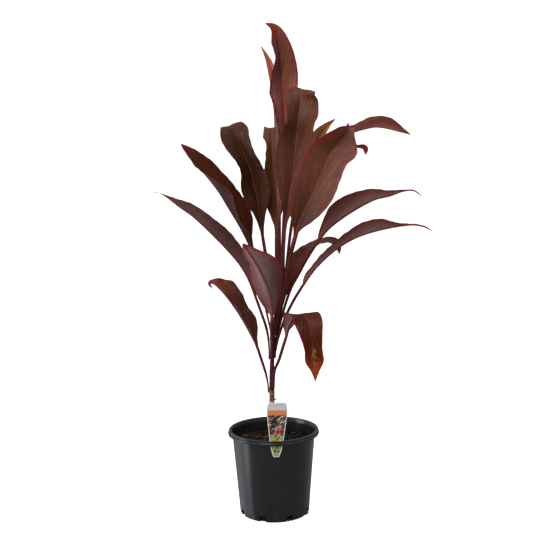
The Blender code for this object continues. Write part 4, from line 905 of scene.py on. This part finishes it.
def cane_finish():
    """Bark: tan and grey bands between orange-brown scars low down, dark wine red among the leaf bases."""
    nodes = Finish("cane_bark")
    at = nodes.place()
    span, times = nodes.span, nodes.times
    scar = nodes.attribute("scar")
    grain = nodes.noise(at, BARK_GRAIN_SCALE, 5, 0.7)
    patches = nodes.noise(at, BARK_PATCH_SCALE, 4, 0.6)
    lips = span(scar, 0.5, 0.95)
    bark = nodes.coats(
        nodes.ramp(patches, OLD_BARK), (span(grain, 0.35, 0.7, 0.4, 0.0), BARK_PORE),
        (times(lips, 0.75), BARK_LIP), (times(span(scar, -0.35, -0.9), 0.8), BARK_GROOVE))
    fresh = nodes.coats(FRESH_DARK, (span(grain, 0.3, 0.7), FRESH_LIGHT), (times(lips, 0.35), FRESH_LIP))
    height = nodes.plus(nodes.attribute("height_mm"), span(patches, 0.3, 0.7, -FRESH_RAGGED, FRESH_RAGGED))
    colour = nodes.mix(span(height, *FRESH_FROM), bark, fresh)
    return nodes.done(colour, span(grain, 0.3, 0.7, 0.55, 0.8), nodes.bump(grain, 0.7, 0.5),
                      IOR=1.42, Specular_IOR_Level=0.35)


def make_cane():
    """Cane with tilted leaf scars, each a raised lip over a groove, and one bud stub fused to its right side.

    A lip is a bell curve of the height over its scar, and the groove another one below it.
    """
    heights = np.linspace(CANE[0, 0], CANE[-1, 0], CANE_ROWS)
    rings = level_rings(cane_rows(heights), CANE_SIDES)
    turn = np.linspace(0, FULL_TURN, CANE_SIDES, endpoint=False)
    scars = np.concatenate([SCARS, np.stack([HIGH_SCARS, HIGH_SCARS * HIGH_SCAR_TURN % 360], axis=1)])
    lip_height = scars[:, 0, None, None] + SCAR_TILT * np.cos(turn - np.radians(scars[:, 1, None]))[:, None]
    over = heights[None, :, None] - lip_height
    lip = np.exp(-(over / SCAR_LIP) ** 2).sum(axis=0)
    groove = np.exp(-((over + SCAR_GROOVE_DROP) / SCAR_GROOVE_LENGTH) ** 2).sum(axis=0)
    scar = lip - SCAR_GROOVE * groove
    flutes = sum(depth * np.cos(count * turn + heights[:, None] / pitch) for depth, count, pitch in FLUTES)
    relief = (heights > SCARS_FROM)[:, None] * SCAR_RELIEF * scar + FLUTE_RELIEF * flutes
    rings = rings + unit(rings - rings.mean(axis=1, keepdims=True)) * relief[..., None]
    points, faces = ringed_surface(rings)
    values = {"scar": np.append(scar.ravel(), (0, 0)), "height_mm": points[:, 2]}
    cane = mesh_piece("scarred_cane", points, faces, cane_finish(), values)
    form, faces = lump_form(7, 14, 0.9)
    lean = np.array(Matrix.Rotation(np.radians(BUD_LEAN), 3, "Y"))
    x, y, radius = cane_at(BUD_HEIGHT)[0]
    points = (form * (BUD_RADIUS, BUD_RADIUS, BUD_LENGTH)) @ lean.T + (x + radius, y, BUD_HEIGHT)
    values = {"scar": np.full(len(form), BUD_SCAR), "height_mm": points[:, 2]}
    apply_cuts(cane, [mesh_piece("bud_tool", points, faces, cane.data.materials[0], values)], "UNION")
    settle(cane, "cane_bark", "stem")


def tag_finish():
    """Printed plastic: white border, pale head, orange band, and a panel of made-up leaf shapes below it."""
    nodes = Finish("printed_tag_plastic")
    span, math = nodes.span, nodes.math
    at = nodes.attribute("print_mm", "Vector")
    height = nodes.along("Y", at)
    slanted = nodes.add("VectorRotate", {"Vector": at, "Angle": 0.9}, rotation_type="Z_AXIS")
    leafy = nodes.scaled(slanted, (0.46, 0.17, 1))
    pick = nodes.add("SeparateColor", {0: nodes.cells(leafy, 1, "Color")}, 0)
    rib = span(nodes.cells(leafy, 1, "Distance", "DISTANCE_TO_EDGE"), 0.0, 0.09)
    upper, middle, lower = (nodes.ramp(pick, stops, "CONSTANT") for stops in TAG_PICKS)
    rule = math("LESS_THAN", math("ABSOLUTE", math("SUBTRACT", height, RULE_HEIGHT)), RULE_HALF)
    smears = nodes.noise(at, (0.12, 0.03, 1), 4)
    panel = nodes.mix(span(height, *LOWER_FADE), lower, nodes.mix(span(height, *UPPER_FADE), middle, upper))
    colour = nodes.coats(
        panel, (span(rib, 0.4, 1, 0.45, 0.0), TAG_RIB), (math("GREATER_THAN", height, BAND_FROM), TAG_BAND),
        (math("GREATER_THAN", height, HEAD_FROM), TAG_HEAD), (nodes.times(rule, 0.5), TAG_RULE),
        (span(nodes.attribute("edge_mm"), *BORDER_FADE), TAG_BORDER), (nodes.attribute("under"), TAG_BACK),
        (span(smears, 0.55, 0.8, 0.0, 0.18), TAG_SMEAR))
    return nodes.done(colour, span(smears, 0.3, 0.7, 0.28, 0.45), nodes.bump(smears, 0.2, 0.1),
                      IOR=1.48, Specular_IOR_Level=0.5)


def make_tag():
    """Flat tag whose smooth outline is a half-width by height, as two printed faces with an edge between."""
    keys, halves = np.array(TAG_OUTLINE, float).T
    rise = keys[0] + (keys[-1] - keys[0]) * (1 - np.cos(np.linspace(0, np.pi, TAG_ROWS))) / 2
    half = np.interp(rise, keys, halves)[:, None]
    across = half * np.sin(np.linspace(-np.pi / 2, np.pi / 2, TAG_COLUMNS))
    height = np.broadcast_to(rise[:, None], across.shape)
    edge = np.minimum(half - np.abs(across), np.minimum(height - keys[0], keys[-1] - height))
    front = np.stack([across, np.full(across.shape, -TAG_THICKNESS / 2), height], axis=-1)
    points, faces = closed_shell(front, front + (0, TAG_THICKNESS, 0))
    place, turn = tag_place()
    spin = np.array(Matrix.Rotation(turn, 3, "Z") @ Matrix.Rotation(np.radians(TAG_LEAN), 3, "Y"))
    flat = np.stack([across, height, 0 * height], axis=-1)
    values = both_faces({"print_mm": flat, "edge_mm": edge})
    tag = mesh_piece("printed_tag", points @ spin.T + place, faces.tolist(), tag_finish(), values, TAG_SHARP)
    settle(tag, "tag_plastic", "plant_tag")


def unit(vectors):
    """Vectors of length one."""
    return vectors / np.linalg.norm(vectors, axis=-1, keepdims=True)


def distances(points):
    """Distances from each point to the next."""
    return np.linalg.norm(np.diff(points, axis=0), axis=1)


def midrib_curve(route, at):
    """Points of the smooth midrib at fractions of its length, and that length."""
    chord = np.append(0, np.cumsum(np.sqrt(distances(route))))
    fine = np.linspace(0, chord[-1], MIDRIB_STEPS)
    run = np.append(0, np.cumsum(distances(through_keys(chord, route, fine))))
    keys = np.interp(np.clip(at, 0, 1) * run[-1], run, fine)
    return through_keys(chord, route, keys), run[-1]


def turn_between(keys, vectors, at):
    """Directions that turn evenly from each keyed one to the next, easing at the keys."""
    vectors = unit(np.asarray(vectors, float))
    i, t = row_and_share(np.asarray(keys, float), at)
    t = np.clip(t, 0, 1)
    t = t * t * (3 - 2 * t)
    start, end = vectors[i], vectors[i + 1]
    angle = np.arccos(np.clip((start * end).sum(axis=1), -1, 1)) + 1e-6
    return unit(start * np.sin((1 - t) * angle)[:, None] + end * np.sin(t * angle)[:, None])


def leaf_foot(leaf):
    """Way out of the cane at a leaf's seat, and the leaf's first two points along the bark."""
    seat, turn = leaf["seat"]
    out = np.array((np.cos(np.radians(turn)), np.sin(np.radians(turn)), 0))
    points = []
    for rise, offset in zip((0, SHEATH_RISE), SHEATH_OFFSETS):
        x, y, radius = cane_at(seat + rise)[0]
        points.append(np.array((x, y, seat + rise)) + out * (radius + offset))
    return out, points


def leaf_frame(leaf, route, out, start, at):
    """Points of the midrib at fractions of its length, and the ways right of the blade and up from it."""
    middle = midrib_curve(route, at)[0]
    along = unit(midrib_curve(route, at + AHEAD)[0] - midrib_curve(route, at - AHEAD)[0])
    places, looks = zip(*leaf["faces"])
    keys = [0, min(SHEATH_SHARE, SHEATH_LIMIT * start), *(start + (1 - start) * place for place in places)]
    up = turn_between(keys, [-out, -out, *looks], at)
    up = unit(up - (up * along).sum(axis=1, keepdims=True) * along)
    return middle, np.cross(along, up), up


def half_section(width, fold, trough, crown):
    """One half of every section from the midrib out: run sideways, run upward and slope angle.

    The slope starts level on the rounded midrib, swings up to the fold angle within a few millimetres, and
    leans back by the crown towards the margin.
    """
    def slope_at(share):
        rounding = 1 - np.exp(-(width[:, None] * share / RIB_ROUNDING) ** 2)
        bow = crown[:, None] * (1 - 2 * share)
        return np.radians((fold[:, None] + bow) * rounding + trough[:, None] * share)

    slope = slope_at((ACROSS[1:] + ACROSS[:-1]) / 2)
    step = width[:, None] * np.diff(ACROSS)
    start = np.zeros((len(width), 1))
    runs = [np.hstack([start, np.cumsum(part * step, axis=1)]) for part in (np.cos(slope), np.sin(slope))]
    return *runs, slope_at(ACROSS)


def leaf_sections(leaf, blade, petiole, run):
    """Sections from left margin to right: run sideways, run upward and slope angle, and the half-widths.

    A section is a trough up the petiole, which opens over its last quarter. In the blade each half leaves
    the midrib at its own fold angle.
    """
    keys, widths = zip((0, STALK), *leaf["widths"], (1, TIP))
    sheath = STALK * (1 - SHEATH_NARROWING * np.exp(-(run / SHEATH_LENGTH) ** 2))
    width = np.where(blade > 0, np.maximum(through_keys(keys, widths, blade)[:, 0], TIP), sheath)
    opening = np.clip(4 * petiole - 3, 0, 1)
    trough = TROUGH * (1 - opening)
    crown = CROWN * np.sin(np.pi * blade) ** CROWN_FADE
    folds = np.array(leaf["folds"], float)
    fold = through_keys(folds[:, 0], folds[:, 1:], blade) * opening[:, None]
    left, right = (half_section(width, side, trough, crown) for side in fold.T)
    joined = [np.hstack([sign * one[:, :0:-1], other]) for sign, one, other in zip((-1, 1, -1), left, right)]
    return *joined, width


def margin_waves(leaf, blade, column):
    """Waves square to each half, which grow towards the margin and fade out at both ends of the blade."""
    number, height, phase = leaf["waves"]
    swell = height * np.sin(np.pi * blade) ** WAVE_FADE
    left = swell * np.sin(FULL_TURN * (number * blade + phase))
    right = swell * np.sin(FULL_TURN * (number * WAVE_STEP * blade + phase + WAVE_SHIFT))
    return np.where(column < 0, left[:, None], right[:, None]) * np.abs(column) ** WAVE_POWER


def fine_relief(blade, column, run, veins, seed):
    """Soft pleats between the main veins and a small seeded ruffle along the margin."""
    draw = np.random.default_rng(seed)
    swell = np.sin(np.pi * blade)[:, None] ** RELIEF_FADE
    pleats = PLEAT_HEIGHT * np.sin(FULL_TURN * veins / PLEAT_LENGTH) * np.clip(4 * np.abs(column), 0, 1)
    side = np.where(column < 0, *draw.uniform(0, 7, 2))
    stretch = run[:, None] / RUFFLE_LENGTH
    second = np.sin(FULL_TURN * SECOND_RUFFLE_RATE * stretch + 2 * side)
    ruffle = np.sin(FULL_TURN * stretch + side) + SECOND_RUFFLE * second
    return swell * (pleats + RUFFLE_HEIGHT * ruffle * np.abs(column) ** RUFFLE_POWER)


def leaf_thickness(blade, in_blade, column, margin):
    """Thickness, greatest along the midrib, which thins towards the tip and to a fine margin."""
    ease = np.clip(blade / RIB_EASE, 0, 1)
    rib = STALK_MIDDLE + (BLADE_MIDDLE - STALK_MIDDLE) * ease + (BLADE_EDGE - BLADE_MIDDLE) * blade
    edge = np.where(in_blade, BLADE_EDGE, STALK_EDGE)
    narrowing = 1 + 2 * ease
    share = np.clip(1 - np.abs(column) * narrowing[:, None], 0, 1)
    full = np.maximum(edge[:, None] + (rib - edge)[:, None] * share, BLADE_EDGE)
    taper = np.clip(1 - margin / MARGIN_TAPER, 0, 1) * ease[:, None]
    return full + (MARGIN_THICKNESS - full) * taper ** 2


def keel_below(place, aside):
    """Depth of the rounded keel: its height times a bell curve of the distance from the midrib."""
    places, heights, widths = np.transpose(KEEL)
    bell = np.exp(-(aside / np.interp(place, places, widths)[:, None]) ** 2)
    return np.interp(place, places, heights)[:, None] * bell


def leaf_faces(leaf, seed):
    """Upper and under face of a leaf as matching grids of points, and the values that its finish follows.

    Rows run from the foot on the cane to the tip, and columns from the left margin to the right one.
    """
    out, foot = leaf_foot(leaf)
    route = np.array(foot + leaf["route"], float)
    length = midrib_curve(route, 0)[1]
    start = leaf["petiole"] / length
    at = np.append(start * np.linspace(0, 1, PETIOLE_ROWS, endpoint=False) ** FOOT_CROWDING,
                   1 - (1 - start) * (1 - np.linspace(0, 1, BLADE_ROWS)) ** TIP_CROWDING)
    blade = np.clip((at - start) / (1 - start), 0, 1)
    column = np.append(-ACROSS[:0:-1], ACROSS)
    middle, right, up = leaf_frame(leaf, route, out, start, at)
    run = at * length
    sideways, upward, angle, width = leaf_sections(leaf, blade, np.clip(at / start, 0, 1), run)
    aside = width[:, None] * column
    veins = run[:, None] - VEIN_SLANT * np.abs(aside)
    lift = margin_waves(leaf, blade, column) + fine_relief(blade, column, run, veins, seed)
    sideways = sideways - lift * np.sin(angle)
    upward = upward + lift * np.cos(angle)
    points = middle[:, None] + sideways[..., None] * right[:, None] + upward[..., None] * up[:, None]
    normal = np.cos(angle)[..., None] * up[:, None] - np.sin(angle)[..., None] * right[:, None]
    margin = width[:, None] - np.abs(aside)
    thick = leaf_thickness(blade, at >= start, column, margin)
    keel = keel_below(np.where(at < start, at / start - 1, blade), aside)
    over = points + normal * thick[..., None] / 2
    below = points - normal * (thick / 2 + keel)[..., None]
    values = {"blade": blade[:, None] + 0 * aside, "margin_mm": margin, "rib_mm": np.abs(aside),
              "stalk": np.clip(1 - at / start, 0, 1)[:, None] + 0 * aside,
              "side": (np.clip(aside / SIDE_EASE, -1, 1) + 1) / 2,
              "vein_mm": np.stack([veins, run[:, None] + 0 * aside, aside + seed * VEIN_SEED_STEP], axis=-1)}
    return over, below, values


def both_faces(values):
    """Values of a shell's points from grids for one face, and which of the points are on its under face."""
    rows = {key: np.concatenate([value.reshape(-1, *value.shape[2:])] * 2) for key, value in values.items()}
    under = np.repeat((0.0, 1.0), len(next(iter(rows.values()))) // 2)
    return {**rows, "under": under}


def closed_shell(front, back):
    """Points and triangles of both faces, split alike and mirrored about the midrib, and of the edge."""
    rows, columns = front.shape[:2]
    number = np.arange(rows * columns).reshape(rows, columns)
    a, b, c, d = number[:-1, :-1], number[:-1, 1:], number[1:, 1:], number[1:, :-1]
    on_right = (np.arange(columns - 1) >= columns // 2)[None, :, None]
    first = np.where(on_right, np.stack([a, b, c], axis=2), np.stack([a, b, d], axis=2))
    second = np.where(on_right, np.stack([a, c, d], axis=2), np.stack([b, c, d], axis=2))
    top = np.concatenate([first.reshape(-1, 3), second.reshape(-1, 3)])
    here = np.concatenate([number[0, :-1], number[:-1, -1], number[-1, :0:-1], number[:0:-1, 0]])
    after = np.roll(here, -1)
    under = rows * columns
    edge = [np.stack([after, here, here + under], axis=1),
            np.stack([after, here + under, after + under], axis=1)]
    points = np.concatenate([front.reshape(-1, 3), back.reshape(-1, 3)])
    return points, np.concatenate([top, top[:, ::-1] + under, *edge])


def tinted(colour, tint):
    """Colour times one share, or times a share for each of red, green and blue."""
    return tuple(np.multiply(colour, tint))


def tissue_and_painted_light(nodes, look, flow, streak, fine, across, side):
    """Colour of the upper and of the under face, with bands and streaks that follow the veins.

    The upper face drifts between a warm and a mauve brown, each half with its own share of mauve, which is
    partly a painted sheen on the half that faces the lamps. The under face is palest near the midrib and
    turns to a redder brown towards the margin, partly its own colour and partly painted light near the midrib
    and painted shade where the margin curls away.
    """
    span, plus, mix = nodes.span, nodes.plus, nodes.mix
    broad = nodes.noise(flow, BROAD_SCALE, 3)
    mottle = nodes.noise(flow, MOTTLE_SCALE, 4, 0.6)
    drift = nodes.noise(flow, DRIFT_SCALE, 2)
    streaky = span(streak, 0.3, 0.72)
    upper, under = look["upper"], look["under"]
    # Share of mauve: each half's own share, partly a painted sheen on the half that faces the lamps, and a
    # random drift
    mauve = plus(span(side, 0.0, 1.0, *look["mauve"]), span(drift, 0.3, 0.7, -0.45, 0.45))
    plain = mix(span(mauve, 0.0, 1.0), tinted(upper, WARM), tinted(upper, MAUVE))
    gold = nodes.times(span(fine, 0.54, 0.72), span(mottle, 0.48, 0.6))
    top = nodes.coats(
        mix(1.0, plain, mix(streaky, (0.74,) * 3, (1.24,) * 3), "MULTIPLY"),
        (span(broad, 0.42, 0.68, 0.0, 0.45), tinted(upper, 0.5)),
        (span(fine, 0.52, 0.68, 0.0, 0.18), tinted(upper, 0.5)),
        (nodes.times(gold, look["streaks"]), GOLD_STREAK))
    # Painted light and shade on the under face, partly its own colour: lighter near the midrib, which faces
    # the light, and redder and darker towards the margin
    pale = span(plus(across, span(drift, 0.3, 0.7, -0.15, 0.15)), 0.5, 0.0, 0.0, 0.55)
    outer = span(plus(across, span(streak, 0.3, 0.7, -0.1, 0.1)), 0.35, 1.0, 0.0, 0.92)
    bottom = nodes.coats(
        tinted(under, 0.86), (streaky, tinted(under, 1.14)),
        (span(fine, 0.5, 0.66, 0.0, 0.12), tinted(under, 0.6)),
        (span(broad, 0.45, 0.7, 0.0, 0.35), tinted(under, 0.6)), (pale, tinted(under, PALE_BY_RIB)),
        (outer, tinted(under, RED_TO_MARGIN)))
    return top, bottom, mottle


def leaf_finish(name, look):
    """Leaf colour: veined bronze above and mauve below, with red midrib, margin, stalk and tip, and painted
    light
    and shade: lightness along the blade, a sheen on each half and a shadow line by the keel.

    Every pattern runs along the veins, whose coordinates in millimetres are across them, along the leaf and
    aside from its midrib.
    """
    nodes = Finish(name)
    span, plus, times = nodes.span, nodes.plus, nodes.times
    flow = nodes.attribute("vein_mm", "Vector")
    blade, margin, rib, under, stalk, side = (
        nodes.attribute(key) for key in ("blade", "margin_mm", "rib_mm", "under", "stalk", "side"))
    streak = nodes.noise(flow, STREAK_SCALE, 3, 0.5)
    fine = nodes.noise(flow, FINE_SCALE, 2, 0.5)
    across = nodes.math("DIVIDE", rib, plus(plus(rib, margin), 0.01))
    upper, lower, mottle = tissue_and_painted_light(nodes, look, flow, streak, fine, across, side)
    # Painted shade and light along the blade: the look's shade darkens or lightens the foot, middle and end,
    # where the leaf lies in shade or in light
    foot, middle, end = look["shade"]
    light = plus(span(blade, 0.05, 0.45, foot, middle), span(blade, 0.45, 0.85, 0.0, end - middle))
    ragged = times(margin, span(streak, 0.25, 0.75, 0.55, 1.7))
    inward = nodes.math("DIVIDE", ragged, span(side, 0.0, 1.0, *look["flush"]))
    blush = times(span(inward, 1.0, 0.0, 0.0, 0.8), span(blade, *look["flushed"], 0.12, 1.0))
    line = times(span(margin, 1.7, 0.5), span(streak, 0.35, 0.6, 0.5, 0.95))
    # Painted shadow: a dark line just out from the midrib, strongest on the under face, where the keel meets
    # the blade
    from_rib = nodes.math("SUBTRACT", plus(rib, blade), times(under, 0.9))
    beside = times(span(from_rib, 3.4, 2.4), span(under, 0.0, 1.0, 0.3, 0.7))
    tip = span(plus(blade, span(streak, 0.2, 0.8, -0.09, 0.09)),
               look["tip_start"], min(look["tip_start"] + TIP_EASE, 1.0))
    spots = nodes.cells(nodes.scaled(flow, FLECK_SCALE), 1)
    flecks = times(span(spots, 0.14, 0.07), span(mottle, 0.5, 0.6))
    colour = nodes.coats(
        nodes.mix(1.0, nodes.mix(under, upper, lower), light, "MULTIPLY"), (blush, tinted(look["edge"], 0.9)),
        (line, look["edge"]), (beside, tinted(look["stalk"], 0.45)), (span(from_rib, 1.8, 1.1), look["rib"]),
        (times(tip, 0.9), look["tip"]), (span(stalk, 0.0, 0.12), look["stalk"]),
        (times(flecks, look["flecks"]), ORANGE_FLECK))
    if look["blight"]:
        pitted = nodes.noise(flow, BLIGHT_SCALE, 4, 0.7)
        zone = times(span(rib, 9.0, 3.0), span(blade, 0.66, 0.74))
        yellow, brown = (times(span(pitted, *fade), zone) for fade in ((0.5, 0.6), (0.62, 0.7)))
        colour = nodes.coats(colour, (yellow, BLIGHT_YELLOW), (brown, BLIGHT_BROWN))
    roughness = plus(span(streak, 0.3, 0.7, 0.38, 0.48), times(under, 0.08))
    ribbing = plus(times(streak, 0.7), times(fine, 0.4))
    return nodes.done(colour, roughness, nodes.bump(ribbing, 0.5, 0.5), IOR=1.45, Specular_IOR_Level=0.18)


def make_leaf(seed, node, leaf):
    """Leaf of one piece, which stands for its solid."""
    over, below, values = leaf_faces(leaf, seed)
    points, faces = closed_shell(over, below)
    name = node.replace("leaf_", "") + "_leaf"
    finish = leaf_finish(name + "_tissue", {**PLAIN_LEAF, **LEAF_LOOKS[node]})
    piece = mesh_piece(name, points, faces.tolist(), finish, both_faces(values), LEAF_SHARP)
    settle(piece, "leaf_" + leaf["tone"], node)


def make_camera():
    """Camera at the photo's height and distance, tipped down and rolled a little."""
    lens = bpy.data.cameras.new("front_camera")
    lens.sensor_width = CAMERA_SENSOR
    lens.lens = CAMERA_LENS
    camera = stand("front_camera", lens)
    pitch = Matrix.Rotation(np.radians(90 - CAMERA_PITCH), 4, "X")
    roll = Matrix.Rotation(np.radians(CAMERA_ROLL), 4, "Z")
    camera.matrix_world = Matrix.Translation(CAMERA_PLACE) @ (pitch @ roll)
    bpy.context.scene.camera = camera


def make_floor():
    """Plain pale floor. It bounces less light than the camera sees, most from a wedge on the pot's left."""
    nodes = Finish("pale_floor")
    span, plus, times = nodes.span, nodes.plus, nodes.times
    at = nodes.place()
    faint = nodes.noise(at, 3, 2)
    seen = nodes.add("LightPath", {}, "Is Camera Ray")
    away = nodes.math("SUBTRACT", WEDGE_APEX[0], nodes.along("X", at))
    turn = nodes.math("ARCTAN2", nodes.math("SUBTRACT", nodes.along("Y", at), WEDGE_APEX[1]), away)
    # Painted pool of light: a wedge on the pot's left that is lighter for bounced light and glows, most along
    # one edge, which the pot's wall mirrors as a highlight
    wedge = times(span(turn, -0.23, -0.17), span(turn, 1.0, 0.5))
    colour = nodes.mix(seen, nodes.mix(wedge, FLOOR_DIM, FLOOR_LIT), nodes.mix(faint, *FLOOR_SEEN))
    streak = times(span(turn, 0.2, 0.05), span(away, 0.08, 0.3, 0.2, 1.1))
    glow = plus(times(seen, 0.8), times(wedge, plus(streak, 0.2)))
    finish = nodes.done(colour, span(faint, 0, 1, 0.7, 0.8), nodes.bump(faint, 0.01, 0.1),
                        Specular_IOR_Level=0.1, Emission_Color=(1, 1, 1), Emission_Strength=glow)
    reach = FLOOR_HALF / MM
    corners = [(-reach, -reach, 0), (reach, -reach, 0), (reach, reach, 0), (-reach, reach, 0)]
    mesh_piece("studio_floor", corners, [(0, 1, 2, 3)], finish)


def make_room_light():
    """Dim room, lighter overhead and on the left, and plain white where the camera sees it."""
    world = bpy.data.worlds.new("studio")
    world.use_nodes = True
    bpy.context.scene.world = world
    nodes = Nodes(world.node_tree)
    way = nodes.add("TexCoord", {}, "Generated")
    left = nodes.add("VectorMath", {0: way, 1: (-1.0, 0.1, 0.0)}, "Value", operation="DOT_PRODUCT")
    above = nodes.span(nodes.along("Z", way), 0.1, 0.95, 0.2, 0.9)
    level = nodes.plus(above, nodes.span(left, 0.4, 0.95, 0.0, 0.35))
    seen = nodes.add("LightPath", {}, "Is Camera Ray")
    backdrop = world.node_tree.nodes["Background"]
    nodes.feed(backdrop.inputs["Color"], (1, 1, 1))
    nodes.feed(backdrop.inputs["Strength"], nodes.math("MAXIMUM", level, nodes.times(seen, 1.2)))


def make_lamp(name, place, size, power, colour):
    """Soft rectangular lamp that faces the plant."""
    lamp = bpy.data.lights.new(name, "AREA")
    lamp.shape = "RECTANGLE"
    lamp.size, lamp.size_y = size
    lamp.energy = power
    lamp.color = colour
    turn = (Vector(place) - Vector(LAMP_AIM)).to_track_quat("Z", "Y").to_matrix().to_4x4()
    stand(name, lamp).matrix_world = Matrix.Translation(place) @ turn


make_camera()
make_floor()
make_room_light()
for lamp, settings in LAMPS.items():
    make_lamp(lamp, *settings)
bpy.context.scene.view_settings.view_transform = "Standard"

bark_mix = mix_finish()
make_pot()
make_mix(bark_mix)
make_lumps(bark_mix)
make_cane()
make_tag()
for number, (node, leaf) in enumerate(LEAVES.items()):
    make_leaf(number, node, leaf)
